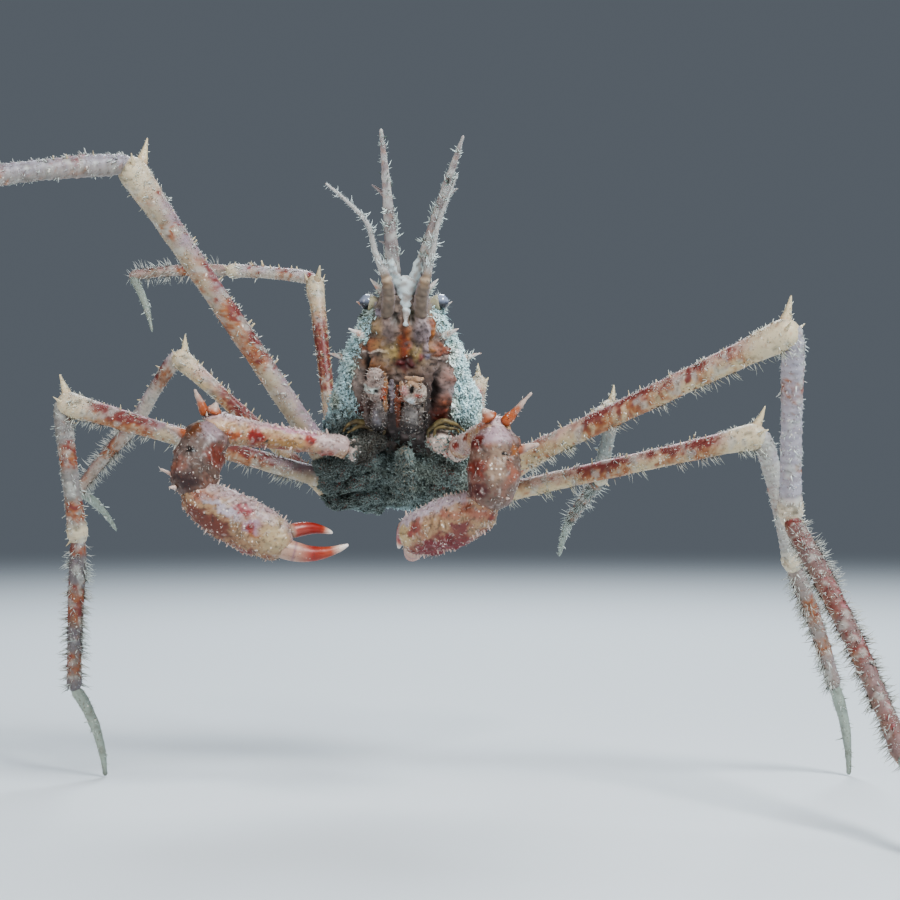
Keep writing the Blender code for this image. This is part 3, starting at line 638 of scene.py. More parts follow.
def growing_tree(name, bead):
    """Tufts, or beads where asked, scattered by the skin's attribute "cover" and laid along its "lie"."""
    tree = bpy.data.node_groups.new(name, "GeometryNodeTree")
    keys = {"Skin": tree_input(tree, "Skin", "Geometry")}
    for label, kind, value in GROWTH_INPUTS:
        keys[label] = tree_input(tree, label, kind, value)
    tree.interface.new_socket("Coat", in_out="OUTPUT", socket_type="NodeSocketGeometry")
    graph = Graph(tree)
    entry = tree.nodes.new("NodeGroupInput")
    given = {socket.name: Value(graph, socket) for socket in entry.outputs if socket.name}

    def named(label, kind):
        return graph.node("GeometryNodeInputNamedAttribute", {"data_type": kind}, {"Name": label})

    def note(geometry, label, kind, domain, value):
        """Store a value on the geometry under a name."""
        return graph.node("GeometryNodeStoreNamedAttribute", {"data_type": kind, "domain": domain},
                          {"Geometry": geometry, "Name": label, "Value": value})

    def vector(operation, first, second):
        key = 3 if operation == "SCALE" else 1
        return graph.node("ShaderNodeVectorMath", {"operation": operation}, {0: first, key: second})

    def chance(low, high, offset):
        return graph.node("FunctionNodeRandomValue", {"data_type": "FLOAT"},
                          {2: low, 3: high, 8: given["Seed"] + offset}, output=1)

    if bead:
        shape = graph.node("GeometryNodeMeshIcoSphere", None,
                           {"Radius": given["Thickness"], "Subdivisions": 1})
    else:
        shape = graph.node("GeometryNodeMeshCone", {"fill_type": "NGON"}, {
            "Vertices": given["Sides"], "Side Segments": given["Rings"],
            "Radius Top": given["Thickness"] * given["Blunt"],
            "Radius Bottom": given["Thickness"], "Depth": given["Length"]})
    x = graph.node("ShaderNodeSeparateXYZ", None, {0: graph.node("GeometryNodeInputPosition")})
    z = x.other(2)
    across = x / given["Thickness"] * 0.5 + 0.5
    rise = z / given["Thickness"] * 0.5 + 0.5 if bead else z / given["Length"]
    patch = graph.node("ShaderNodeCombineXYZ", None, {0: across, 1: rise})
    shape = note(shape, "patch", "FLOAT_VECTOR", "POINT", patch)
    if not bead:
        belly = 1.0 + rise * (1.0 - rise) * BELLY
        curl = rise * rise * given["Length"] * given["Curl"]
        bent = graph.node("ShaderNodeCombineXYZ", None, {0: x * belly + curl, 1: x.other(1) * belly, 2: z})
        shape = graph.node("GeometryNodeSetPosition", None, {"Geometry": shape, "Position": bent})
    scatter = graph.node("GeometryNodeDistributePointsOnFaces", {"distribute_method": "POISSON"}, {
        "Mesh": given["Skin"], "Distance Min": given["Spacing"],
        "Density Max": 3.0 / (given["Spacing"] * given["Spacing"]),
        "Density Factor": named("cover", "FLOAT"), "Seed": given["Seed"]})
    lie = named("lie", "FLOAT_VECTOR")
    stray = graph.node("FunctionNodeRandomValue", {"data_type": "FLOAT_VECTOR"}, {
        0: (-1.0, -1.0, -1.0), 1: (1.0, 1.0, 1.0), 8: given["Seed"] + 7})
    upright = vector("SCALE", scatter.other("Normal"), 1.0 - given["Lean"])
    axis = vector("ADD", vector("ADD", upright, vector("SCALE", lie, given["Lean"])),
                  vector("SCALE", stray, given["Splay"]))
    turned = graph.node("FunctionNodeAlignRotationToVector", {"axis": "Z"}, {"Vector": axis})
    forward = vector("ADD", lie, vector("SCALE", stray, 0.6))
    turned = graph.node("FunctionNodeAlignRotationToVector", {"axis": "X", "pivot_axis": "Z"},
                        {"Rotation": turned, "Vector": forward})
    grown = graph.node("GeometryNodeInstanceOnPoints", None, {
        "Points": scatter, "Instance": shape, "Rotation": turned,
        "Scale": chance(given["Smallest"], given["Largest"], 3) * named("size", "FLOAT")})
    grown = note(grown, "luck", "FLOAT", "INSTANCE", chance(0.0, 1.0, 11))
    grown = graph.node("GeometryNodeRealizeInstances", None, {"Geometry": grown})
    patch = named("patch", "FLOAT_VECTOR")
    patch_place = vector("SCALE", vector("SUBTRACT", patch, (0.5, 0.5, 0.0)), PATCH)
    spot = vector("ADD", named("unwrap", "FLOAT_VECTOR"), patch_place)
    grown = note(grown, "OFBake", "FLOAT2", "CORNER", spot)
    height = graph.node("ShaderNodeSeparateXYZ", None, {0: patch}, output=1)
    grown = note(grown, "rise", "FLOAT", "POINT", height)
    grown = graph.node("GeometryNodeSetShadeSmooth", None, {"Geometry": grown})
    grown = graph.node("GeometryNodeSetMaterial", None, {"Geometry": grown, "Material": given["Finish"]})
    leave = tree.nodes.new("NodeGroupOutput")
    tree.links.new(grown.socket, leave.inputs[0])
    return tree, keys


TUFTS = growing_tree("grow tufts", False)
BEADS = growing_tree("grow beads", True)

# %% [markdown]
# To grow a coat piece, the skin is laid out as a ground mesh that holds what the tree asks for. The modifier
# grows the coat, the result is kept as a plain mesh, and the ground is removed.

# %% Growing a coat
coat_counts = []


def grow(name, skin, recipe, finish, cover, lie, tint, size=None, **settings):
    """Grow a coat piece on a skin as a plain mesh; cover, lie, tint and size hold a value for each point."""
    tree, keys = recipe
    mesh = skin.mesh(name + "_ground", tint)
    store(mesh, "cover", "FLOAT", np.clip(cover, 0.0, 1.0))
    store(mesh, "size", "FLOAT", np.ones(len(skin.points)) if size is None else size)
    store(mesh, "lie", "FLOAT_VECTOR", lie)
    ground = link_mesh(name + "_ground", mesh)
    modifier = ground.modifiers.new("grow", "NODES")
    modifier.node_group = tree
    modifier[keys["Finish"]] = finish
    for label, value in settings.items():
        modifier[keys[label.capitalize()]] = value
    graph = bpy.context.evaluated_depsgraph_get()
    grown = bpy.data.meshes.new_from_object(ground.evaluated_get(graph))
    bpy.data.objects.remove(ground)
    for extra in ("patch", "unwrap", "cover", "lie", "size"):
        if extra in grown.attributes:
            grown.attributes.remove(grown.attributes[extra])
    piece = link_mesh(name, grown)
    grown.calc_loop_triangles()
    coat_counts.append(len(grown.loop_triangles))
    print(name, "triangles:", coat_counts[-1])
    return piece


def keep(piece, slot, *nodes):
    """Every piece rides on the one body and hides the solids it stands for; the slot, its finish, is not
    used.
    """
    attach(piece, "root")
    if nodes:
        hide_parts(*nodes)


# %% [markdown]
# The body is one closed skin from the tail end to the root of the rostrum. Its upper side lies a little under
# the wool. The lower front is bare: the mouth field, with lobes and ridges in orange, lilac and dark red.
# Those marks are listed by place on the body, each an oval with a colour and a height; a few dark ones are
# painted shade.

# %% Body skin
SKIN_STEP = 0.32
SKIN_SIDES = 340
CORE_DEPTH = 1.7
# Each mark: (left, ahead, half width, half length, turn, lift, colour, softness)
FACE_MARKS = [
    (0.0, 6.0, 12.5, 20.0, 0, 0.0, "665550", 0.8),
    (0.0, 20.0, 10.5, 9.0, 0, 0.0, "8a7669", 0.9),
    (-13.0, 10.0, 2.2, 7.0, 8, 1.0, "85776f", 0.9),
    (11.6, 8.0, 2.8, 6.0, -8, 1.3, "927c76", 0.9),
    (12.4, 11.5, 1.8, 1.8, 0, 0.6, "a0786c", 0.9),
    (14.0, 6.0, 2.4, 2.4, 0, 0.3, "b3aeb0", 1.0),
    (10.6, 3.0, 2.0, 3.2, 0, 0.5, "8d5238", 0.9),
    (-7.6, 14.4, 4.0, 2.2, -10, 0.9, "7a5030", 0.7),
    (-8.2, 20.0, 3.8, 1.7, 14, 1.3, "8a5233", 0.8),
    (-8.0, 18.4, 3.4, 0.5, 8, 1.2, "cdbfb6", 0.6),
    (9.2, 18.6, 4.6, 1.6, -17, 1.4, "8f4a2c", 0.8),
    (9.6, 16.4, 3.0, 0.5, -12, 1.0, "b09c92", 0.7),
    (7.4, 24.6, 1.4, 3.2, 0, 0.9, "b0703a", 0.8),
    (7.2, 26.4, 0.9, 1.2, 0, 0.3, "935032", 0.9),
    (10.4, 23.0, 2.0, 2.6, 20, 0.8, "a8958c", 0.9),
    (11.9, 18.4, 1.1, 1.0, 0, 0.6, "7c3023", 0.7),
    (-11.8, 22.2, 1.7, 0.8, -20, 0.8, "843b38", 0.7),
    (-7.2, 24.4, 2.2, 2.2, 0, 0.6, "8d7555", 0.8),
    (0.3, 19.2, 6.0, 4.4, 0, 0.0, "96804f", 0.9),
    (0.2, 20.6, 1.9, 5.6, 0, 0.4, "975424", 0.9),
    (0.2, 19.4, 0.9, 5.0, 0, 0.2, "7a3312", 0.9),
    (0.4, 15.4, 3.6, 1.8, 0, -0.7, "42110f", 0.7),
    (-1.1, 15.5, 1.2, 1.0, 0, 0.9, "5f1a19", 0.7),
    (2.0, 15.5, 1.2, 1.0, 0, 0.9, "4e1716", 0.7),
    (4.9, 16.9, 0.8, 0.6, 20, 0.6, "7d3a34", 0.9),
    (6.2, 17.4, 0.9, 0.7, 20, 0.6, "9d98ac", 0.7),
    (-3.8, 24.4, 1.8, 4.0, 6, 0.7, "7d6c66", 0.9),
    (4.2, 24.2, 1.9, 4.4, -6, 0.8, "7f7070", 0.9),
    (5.7, 22.6, 0.6, 5.0, -4, 1.0, "a08f92", 0.8),
    (-7.0, 28.0, 3.6, 0.8, 8, 0.9, "9d93a2", 0.8),
    (-2.0, 27.6, 1.2, 1.6, 0, -0.9, "4a4038", 0.7),
    (2.3, 27.6, 1.0, 1.6, 0, -0.9, "4f4a34", 0.7),
    # The next two marks are near-black sunk grooves beside the mouthparts: painted shade in the gaps.
    (8.4, 7.6, 0.8, 6.4, -9, -1.3, "2c211e", 0.7),
    (-9.9, 14.0, 0.7, 3.6, 0, -1.4, "1d1616", 0.6),
    (-12.2, 2.0, 2.6, 2.6, 0, 0.2, "4f241d", 0.9),
    (9.6, 0.6, 2.2, 2.2, 0, 0.3, "6b2c1c", 0.9),
    # The next mark is the broad sunk dark patch behind the mouth: painted shadow.
    (0.0, -7.5, 14.0, 5.0, 0, -1.1, "332a28", 1.0),
    (3.0, -7.0, 5.0, 1.5, 0, 0.4, "5d5350", 1.0),
    (-5.0, -9.0, 4.0, 1.5, 0, 0.4, "55483f", 1.0),
]


# %% [markdown]
# The skin is lofted from the cross-sections of the solids. The marks are blended in where it is bare, and
# noise gives it swellings under the wool and folds on the face, whose creases are darkened as painted shade.

# %% Shape and paint of the body
FACE_SHADE = 0.84
# Half width of the bare face along the body, as (ahead, half width); the wool starts there
WOOL_EDGE = [
    (-36.0, 8.0), (-13.0, 9.0), (-6.0, 11.0), (-3.0, 12.5), (3.0, 13.6), (9.0, 14.0), (15.0, 13.2),
    (20.0, 11.4), (25.0, 9.0), (29.0, 6.8), (34.0, 5.0),
]


def add_marks(skin, marks, tint, lift, seed):
    """Blend oval marks into tint and lift; their outlines are warped by noise, so no two look alike."""
    left, ahead = body_frame(skin.points)[:2]
    warp_left, warp_ahead = (lumps(skin.points, 2.2, seed + k) * 0.9
                             + lumps(skin.points, 1.0, seed + k + 1) * 0.35 for k in (0, 2))
    for x, y, half_x, half_y, turn, rise, colour, soft in marks:
        spin = math.radians(turn)
        away = left + warp_left - x
        along = ahead + warp_ahead - y
        dx = away * math.cos(spin) + along * math.sin(spin)
        dy = along * math.cos(spin) - away * math.sin(spin)
        reach = np.sqrt((dx / half_x) ** 2 + (dy / half_y) ** 2)
        lift += rise * smooth_step(1.25, 0.35, reach)
        wash(tint, pigment(colour), smooth_step(1.0 + soft * 0.65, 1.0 - soft * 0.65, reach))


def outline_point(ahead, angle, shrink):
    """A place on the body's outline at an angle from its left side, sunk by shrink."""
    width, top, level, bottom = between(BODY_STATIONS, ahead)
    height = top - level if math.sin(angle) > 0 else level - bottom
    width = max(width - shrink, 0.8)
    height = max(height - shrink, 0.8)
    left = width * math.copysign(abs(math.cos(angle)) ** SECTION_POWER, math.cos(angle))
    up = level + height * math.copysign(abs(math.sin(angle)) ** SECTION_POWER, math.sin(angle))
    return in_world(left, ahead, up)


def loft_body():
    """The bare closed tube of the body, sunk under the wool and level with the solids at the nose."""
    skin = Skin()
    first, last = BODY_STATIONS[0][0], BODY_STATIONS[-1][0]
    count = int((last - first) / SKIN_STEP)
    turns = [2.0 * math.pi * j / SKIN_SIDES - math.pi / 2 for j in range(SKIN_SIDES)]
    rows, places, alongs = [], [], []
    for i in range(count + 1):
        ahead = first + (last - first) * i / count
        shrink = CORE_DEPTH * (1.0 - float(smooth_step(21.0, 26.0, ahead)))
        rows.append([outline_point(ahead, turn, shrink) for turn in turns])
        places.append(ahead)
        alongs.append(-AHEAD)
    skin.add_tube(rows, places, alongs, 0, (0.0, 1.0))
    skin.settle()
    return skin


def make_body():
    skin = loft_body()
    left, ahead, up = body_frame(skin.points)
    below = smooth_step(0.5, -3.0, up)
    edge = np.interp(ahead, *zip(*WOOL_EDGE))
    ragged = lumps(skin.points, 2.2, 3) * 1.8 + lumps(skin.points, 0.9, 12) * 0.8
    bare = smooth_step(1.6, -1.6, np.abs(left) - edge + ragged) * below
    bare *= smooth_step(-13.5, -10.5, ahead + ragged)
    skin.bare = np.maximum(bare, smooth_step(26.0, 29.0, ahead))
    face_tint = all_over(skin, "85776d")
    lift = np.zeros(len(skin.points))
    add_marks(skin, FACE_MARKS, face_tint, lift, 5)
    fold = lumps(skin.points, 1.6, 13) + 0.4 * lumps(skin.points, 0.9, 14)
    folds = fold * 0.35 * skin.bare
    blotch = 1.0 + 0.3 * lumps(skin.points, 0.9, 9) + 0.2 * lumps(skin.points, 1.8, 10)
    face_tint *= FACE_SHADE * blotch[:, None]
    # The face is darkened where the folds sink: painted shade in the creases.
    face_tint *= (1.0 - 0.45 * smooth_step(-0.15, -0.5, fold))[:, None]
    wash(face_tint, pigment("9c8c88"), smooth_step(0.2, 0.5, lumps(skin.points, 1.3, 11)) * 0.3)
    wash(face_tint, pigment("8b8079"), 1.0 - below)
    skin.tint = np.clip(blended(all_over(skin, "6f7a70"), face_tint, skin.bare), 0.0, 1.0)
    woolly = 1.0 - skin.bare
    swell = lumps(skin.points, 5.5, 1) * 1.0 + lumps(skin.points, 2.2, 2) * 1.2
    belly = smooth_step(-11.5, -15.0, ahead) * below * 1.8
    fine = lumps(skin.points, 1.0, 4) * (0.08 + 0.42 * woolly)
    skin.swell((swell + belly) * woolly + lift * below * skin.bare + fine + folds)
    return skin


body = make_body()
keep(body.build("body_skin", BODY_SKIN), "wool", "carapace", "thorax")
print("body skin points:", len(body.points))

# %% [markdown]
# The wool is short, dense and clotted: small curved locks in groups, mint white at the tips and dark at the
# root, with stray dark locks where silt has settled. It lies backwards over the carapace.

# %% Wool
FLEECE = dict(spacing=0.000195, length=0.00056, thickness=0.00016, lean=0.05, splay=1.6, curl=0.4, blunt=0.8,
              smallest=0.5, largest=1.6, sides=3, rings=1)
WISPS = dict(spacing=0.00095, length=0.0024, thickness=0.00007, lean=0.3, splay=0.9, curl=0.6, smallest=0.5,
             largest=1.4, rings=2)


def wool_tint_and_shade(skin):
    """Mint white with dark clots; greyer below and behind as painted shade, and lighter on the left than on
    the right as painted light.
    """
    left, ahead, up = body_frame(skin.points)
    cloud = lumps(skin.points, 6.0, 21)
    clot = lumps(skin.points, 0.95, 22) + 0.35 * lumps(skin.points, 3.2, 23)
    tint = blended(pigment("d6f0f4"), pigment("e2efe4"), smooth_step(0.0, 0.6, cloud))
    # Greyer below and behind: painted shade under the body, which also lets more dark clots through there.
    under = smooth_step(-4.0, -9.0, up) * smooth_step(2.0, -4.0, ahead)
    wash(tint, pigment("787e76"), under * 0.85)
    share = 0.36 - 0.10 * under
    tint *= (0.92 + 0.22 * smooth_step(-0.5, 0.5, lumps(skin.points, 2.2, 2)))[:, None]
    # Lighter on the left side, towards the key light, and darker on the right: painted light and shade.
    tint *= (0.84 + 0.26 * smooth_step(-10.0, 10.0, left))[:, None]
    wash(tint, pigment("1e2823"), 0.85 * smooth_step(share, share + 0.1, clot))
    silt = smooth_step(0.34, 0.44, lumps(skin.points, 0.55, 24) + 0.2 * lumps(skin.points, 4.0, 25))
    wash(tint, pigment("3a4438"), 0.7 * silt)
    return np.clip(tint, 0.0, 1.0)


def grow_wool():
    tint = wool_tint_and_shade(body)
    left, ahead, up = body_frame(body.points)
    mouth = smooth_step(-4.0, -9.0, ahead) * smooth_step(0.0, 0.5, lumps(body.points, 1.4, 33)) * 0.7
    cover = np.maximum(1.0 - body.bare, mouth * (up < -2.0))
    sideways = np.sign(left)[:, None] * as_row(LEFT) * smooth_step(4.0, 16.0, np.abs(left))[:, None]
    lie = body.lie * 0.8 + sideways * 0.35 + np.array((0.0, 0.0, -0.35))
    clumps = smooth_step(-0.2, 0.35, lumps(body.points, 1.0, 34))
    size = 0.55 + 0.9 * clumps + 0.3 * lumps(body.points, 2.2, 31) - 0.2 * smooth_step(18.0, 26.0, ahead)
    quarters = {
        "wool_back_left": (up > 2.0) & (left >= 0.0),
        "wool_back_right": (up > 2.0) & (left < 0.0),
        "wool_side_left": (up <= 2.0) & (left >= 0.0),
        "wool_side_right": (up <= 2.0) & (left < 0.0),
    }
    for k, (name, here) in enumerate(quarters.items()):
        keep(grow(name, body, TUFTS, WOOL, cover * here, lie, tint, size, seed=k + 1, **FLEECE), "wool")
    wisps = cover * smooth_step(0.0, 0.4, lumps(body.points, 2.6, 32))
    keep(grow("wool_wisps", body, TUFTS, WOOL, wisps, lie, tint, seed=9, **WISPS), "wool")


grow_wool()

# %% [markdown]
# A leg has four segments. Each is a slender closed shell with a swollen far end, red bands on cream, and
# granules. The paths and radii are the same as in the solids, so the joints fall where the solids have them.

# %% Measures of the legs
MERUS, CARPUS, PROPODUS, DACTYLUS = range(4)
SEGMENT_NAMES = ["merus", "carpus", "propodus", "dactylus"]
FOOT = "foot"
LEG_LENGTHS = {
    1: (97.0, 55.0, 84.0, 37.0),
    2: (78.0, 39.5, 42.5, 27.5),
    3: (60.5, 28.0, 34.0, 22.0),
    4: (65.0, 27.0, 33.0, 21.0),
}
LEG_GIRTH = {1: 3.3, 2: 2.9, 3: 2.35, 4: 2.15}
LEG_DROPS = {(1, "left"): 5.0, (2, "left"): 5.0}
MERUS_LENGTHS = {(1, "left"): 98.8, (2, "left"): 78.9}
LEG_ROOTS = {1: (22.0, -13.0, -12.0), 2: (22.5, -20.0, -11.5), 3: (21.5, -27.0, -8.5), 4: (19.5, -31.5, 1.5)}
LEG_POSES = {
    (1, "left"): [(-30, 22.73), (83, -64), (-74, -41), (-83, FOOT)],
    (2, "left"): [(-13, 12.58), (46, -68), (53, -55), (40, FOOT)],
    (3, "left"): [(42, 25), (103, -55), (103, -22), (99, -35)],
    (4, "left"): [(88, 30), (110, -35), (120, -45), (110, -5)],
    (1, "right"): [(-20, 55), (-30, -10), (-62, -66), (-40, -80)],
    (2, "right"): [(4, 16), (131, -81), (55, -86), (163, FOOT)],
    (3, "right"): [(13, 41), (40, -48), (46, -34), (120, -35)],
    (4, "right"): [(66, 72), (14, 6), (21, -1), (-130, -57)],
}
LIMB_SIDES = 26
LIMB_STEP = 0.55

# %% [markdown]
# No two legs are marked alike, so the bands and the ground colours are listed leg by leg where they differ.

# %% Markings of the legs
# Red bands of each leg: (middle, half width, strength) along each kind of segment
PLAIN_BANDS = {
    MERUS: [(0.06, 0.04, 0.4), (0.28, 0.09, 0.85), (0.60, 0.10, 0.9), (0.84, 0.03, 0.5)],
    CARPUS: [(0.30, 0.10, 0.6), (0.78, 0.07, 0.5)],
    PROPODUS: [(0.07, 0.04, 0.7), (0.42, 0.11, 0.85), (0.80, 0.09, 0.6)],
    DACTYLUS: [(0.45, 0.10, 0.5)],
}
LEG_BANDS = {
    (1, "left"): {
        MERUS: [(0.20, 0.06, 0.5), (0.40, 0.06, 0.95), (0.52, 0.06, 1.0), (0.63, 0.03, 0.7),
                (0.727, 0.03, 0.65), (0.835, 0.035, 0.55)],
        CARPUS: [(0.31, 0.07, 0.5), (0.75, 0.05, 0.25)],
        PROPODUS: [(0.035, 0.03, 0.7), (0.13, 0.05, 0.3), (0.40, 0.10, 0.45), (0.62, 0.05, 0.5),
                   (0.90, 0.06, 0.3)],
    },
    (2, "left"): {
        MERUS: [(0.14, 0.04, 0.4), (0.43, 0.10, 1.0), (0.67, 0.06, 0.75), (0.79, 0.06, 0.95)],
        CARPUS: [(0.50, 0.12, 0.3)],
        PROPODUS: [(0.35, 0.10, 0.9), (0.66, 0.08, 0.8)],
    },
    (3, "left"): {MERUS: [(0.30, 0.08, 0.6), (0.68, 0.11, 0.7)], CARPUS: [(0.3, 0.1, 0.35)]},
    (1, "right"): {
        MERUS: [(0.06, 0.03, 0.3), (0.37, 0.06, 1.0), (0.48, 0.05, 1.0), (0.63, 0.05, 0.55),
                (0.79, 0.012, 0.8), (0.90, 0.03, 0.35)],
        CARPUS: [(0.30, 0.06, 0.4), (0.70, 0.06, 0.45)],
    },
    (2, "right"): {
        MERUS: [(0.30, 0.08, 0.85), (0.765, 0.11, 1.0)],
        CARPUS: [(0.395, 0.08, 0.9), (0.785, 0.075, 0.85)],
        PROPODUS: [(0.07, 0.04, 0.75), (0.44, 0.12, 1.0), (0.83, 0.09, 0.75)],
    },
    (3, "right"): {
        MERUS: [(0.20, 0.06, 0.6), (0.55, 0.16, 0.95)],
        CARPUS: [(0.30, 0.14, 0.9), (0.85, 0.08, 0.45)],
        PROPODUS: [(0.35, 0.15, 0.85), (0.75, 0.08, 0.4)],
    },
    (4, "right"): {
        MERUS: [(0.20, 0.08, 0.5), (0.62, 0.16, 1.0)],
        CARPUS: [(0.05, 0.05, 0.75), (0.35, 0.08, 0.65), (0.70, 0.06, 0.55)],
        PROPODUS: [(0.40, 0.10, 1.0), (0.75, 0.06, 0.45)],
    },
}
# Number of the thorns among the parts of a limb skin
THORN = 9
# Ground colours of each segment: (below, above)
SEGMENT_TONES = {
    MERUS: ("c4b28e", "b3968c"),
    CARPUS: ("c0b6a8", "b1a5aa"),
    PROPODUS: ("a99a8e", "9b807c"),
    DACTYLUS: ("98a297", "7f8880"),
}
# Segments whose ground colours differ from the rest; the dark grey carpus and propodus of the second right
# leg are painted shade
LEG_TONES_AND_SHADE = {
    (1, "left"): {CARPUS: ("a39ea6", "b0aebb"), PROPODUS: ("8c7164", "7f6765")},
    (1, "right"): {MERUS: ("a79a84", "94808a"), CARPUS: ("98918c", "928c95")},
    (2, "left"): {CARPUS: ("a6a49e", "a5a2a8"), PROPODUS: ("948780", "8d7e80")},
    (2, "right"): {
        # Painted shade: the dark carpus and propodus of this leg.
        MERUS: ("b0a086", "98848a"), CARPUS: ("7f7c78", "85807f"), PROPODUS: ("6f6b6c", "6e6468"),
    },
    (3, "left"): {CARPUS: ("8f9590", "8d9090"), PROPODUS: ("6f746e", "6e6c68")},
}
BRICK = pigment("763632")
RUST = pigment("9a6038")
ROSE = pigment("a9737b")

# %% [markdown]
# A standing foot reaches for the floor: the slope of its last segment follows from the height of its ankle.

# %% Shape of the legs
# (place along the segment, share of the leg's girth) of each kind of segment
SEGMENT_GIRTHS = {
    MERUS: [(0.0, 1.0), (0.1, 0.93), (0.35, 0.9), (0.65, 0.94), (0.86, 1.04), (0.955, 1.24), (0.99, 1.18),
            (1.018, 0.85)],
    CARPUS: [(-0.03, 0.6), (0.05, 0.84), (0.14, 0.92), (0.45, 0.84), (0.85, 0.9), (0.96, 1.04), (1.045, 0.6)],
    PROPODUS: [(-0.02, 0.52), (0.05, 0.8), (0.2, 0.82), (0.45, 0.78), (0.9, 0.7), (0.975, 0.76),
               (1.03, 0.45)],
    DACTYLUS: [(-0.02, 0.36), (0.08, 0.58), (0.45, 0.5), (0.8, 0.33), (0.93, 0.24), (1.0, 0.14)],
}
FREE_TIP = 0.3
STANDING_TIP = 0.7
# How far the tip of a standing foot is lifted, so that its round end touches the floor
TIP_LIFT = 0.35
# How much each segment arches, as a share of its length
SEGMENT_BOWS = (0.0, 0.02, 0.03, 0.07)
# Number of thorns in the row on top of a segment
LEG_SPINELETS = ((MERUS, 20), (CARPUS, 8))
LEG_SPAN = 0.96
SPAN_GAP = 0.004


def leg_root(pair, side_name):
    """Where a leg leaves the body, as (left, ahead, up) on the left side; some sit lower than their pair."""
    left, ahead, up = LEG_ROOTS[pair]
    drop = LEG_DROPS.get((pair, side_name), 0.0)
    return left, ahead - drop * math.sin(PITCH), up - drop * math.cos(PITCH)


def leg_joints(pair, side_name):
    side = SIDES[side_name]
    left, ahead, up = leg_root(pair, side_name)
    places = [in_world(side * left, ahead, up)]
    lengths = [MERUS_LENGTHS.get((pair, side_name), LEG_LENGTHS[pair][MERUS]), *LEG_LENGTHS[pair][CARPUS:]]
    for (azimuth, elevation), length in zip(LEG_POSES[(pair, side_name)], lengths):
        if elevation == FOOT:
            elevation = -math.degrees(math.asin(places[-1].z / length))
        places.append(places[-1] + heading(side, azimuth, elevation) * length)
    return places


def segment_stations(kind, girth, stands):
    """Radii along a segment; the far end of all but the last is a swollen knuckle."""
    stations = [(t, girth * share) for t, share in SEGMENT_GIRTHS[kind]]
    if kind == DACTYLUS:
        stations[-1] = (1.0, STANDING_TIP if stands else FREE_TIP)
    return stations


# %% [markdown]
# The paint goes on in layers, as on a real model: ground colour, pale knee, red bands, crust, dirt, stains.

# %% Paint of the legs
def band_strength(skin, bands_by_kind, ragged, cloud):
    """How red each point is, from the bands of its segment."""
    red = np.zeros(len(skin.points))
    for kind, plain in PLAIN_BANDS.items():
        here = skin.part == kind
        for middle, half, strength in bands_by_kind.get(kind, plain):
            away = np.abs(skin.place - middle + (ragged + cloud * 0.8) * 0.045) / half
            red = np.maximum(red, here * strength * smooth_step(1.8, 0.2, away))
    return red


def limb_paint(skin, bands_by_kind, seed, own_tones_and_shade):
    """Cream below and rose above, with ragged red bands that turn orange on the lower side."""
    cloud = lumps(skin.points, 3.6, seed)
    ragged = lumps(skin.points, 1.5, seed + 1)
    spots = lumps(skin.points, 0.8, seed + 2)
    upper = smooth_step(-0.6, 0.6, skin.out[:, 2] + 0.5 * cloud + 0.3 * ragged)
    tint = np.zeros((len(skin.points), 3))
    for kind, (low, high) in {**SEGMENT_TONES, **own_tones_and_shade}.items():
        tint = np.where((skin.part == kind)[:, None], blended(pigment(low), pigment(high), upper), tint)
    knee = smooth_step(0.84, 0.93, skin.place) * (skin.part <= CARPUS)
    wash(tint, pigment("cdc0a4"), 0.8 * knee)
    red = band_strength(skin, bands_by_kind, ragged, cloud) * (0.6 + 0.4 * upper)
    red = np.clip(red * (1.0 + 0.8 * spots + 0.5 * ragged) + 0.35 * smooth_step(0.3, 0.6, ragged), 0.0, 1.0)
    red *= skin.part < DACTYLUS
    hue = blended(RUST, BRICK, smooth_step(0.35, 0.8, upper * 0.5 + red * 0.5))
    wash(hue, ROSE, smooth_step(0.75, 0.95, skin.out[:, 2] + 0.3 * ragged))
    wash(tint, hue, smooth_step(0.05, 0.75, red))
    crust = smooth_step(0.2, 0.42, lumps(skin.points, 2.6, seed + 5) + 0.25 * ragged) * (skin.part < DACTYLUS)
    wash(tint, pigment("b7b9b2"), 0.5 * crust)
    dirt = smooth_step(0.28, 0.4, spots) * crust
    wash(tint, pigment("4c4a42"), 0.5 * dirt)
    stain = smooth_step(0.3, 0.5, lumps(skin.points, 1.9, seed + 4))
    wash(tint, pigment("5f5a4c"), stain * (0.35 + 0.3 * knee))
    thorn = blended(pigment("cfc0a0"), pigment("a5735a"), smooth_step(0.6, 0.1, skin.place))
    tint = np.where((skin.part == THORN)[:, None], thorn, tint)
    return np.clip(tint, 0.0, 1.0)


def limb_relief(skin, seed):
    """Low swellings and small pits all over."""
    return lumps(skin.points, 4.0, seed + 5) * 0.16 + lumps(skin.points, 1.2, seed + 6) * 0.10


# %% [markdown]
# A long thorn stands on each knee with a small one on either side, and small thorns run along the top.

# %% Shells of the legs
def knee_thorns(start, end, girth):
    """The long thorn on top of the knee and a small one on each side: (root, tip, radius)."""
    along = (end - start).normalized()
    out = (SKYWARD - along * along.z).normalized()
    side_way = along.cross(out)
    thorns = [(end - along * girth * 1.2, end + along * girth * 0.9 + out * girth * 2.6, girth * 0.62)]
    for turn in (-1.0, 1.0):
        thorns.append((end - along * girth * 0.9 + side_way * girth * 0.5 * turn,
                       end + along * girth * 0.6 + side_way * girth * 1.5 * turn + out * girth * 0.4,
                       girth * 0.3))
    return thorns


def ankle_thorn(start, end, girth, side):
    along = (end - start).normalized()
    out = SKYWARD * 0.4 + Vector((side, -0.3, 0.0))
    out = (out - along * out.dot(along)).normalized()
    return end - along * girth, end + along * girth * 0.5 + out * girth * 1.35, girth * 0.3


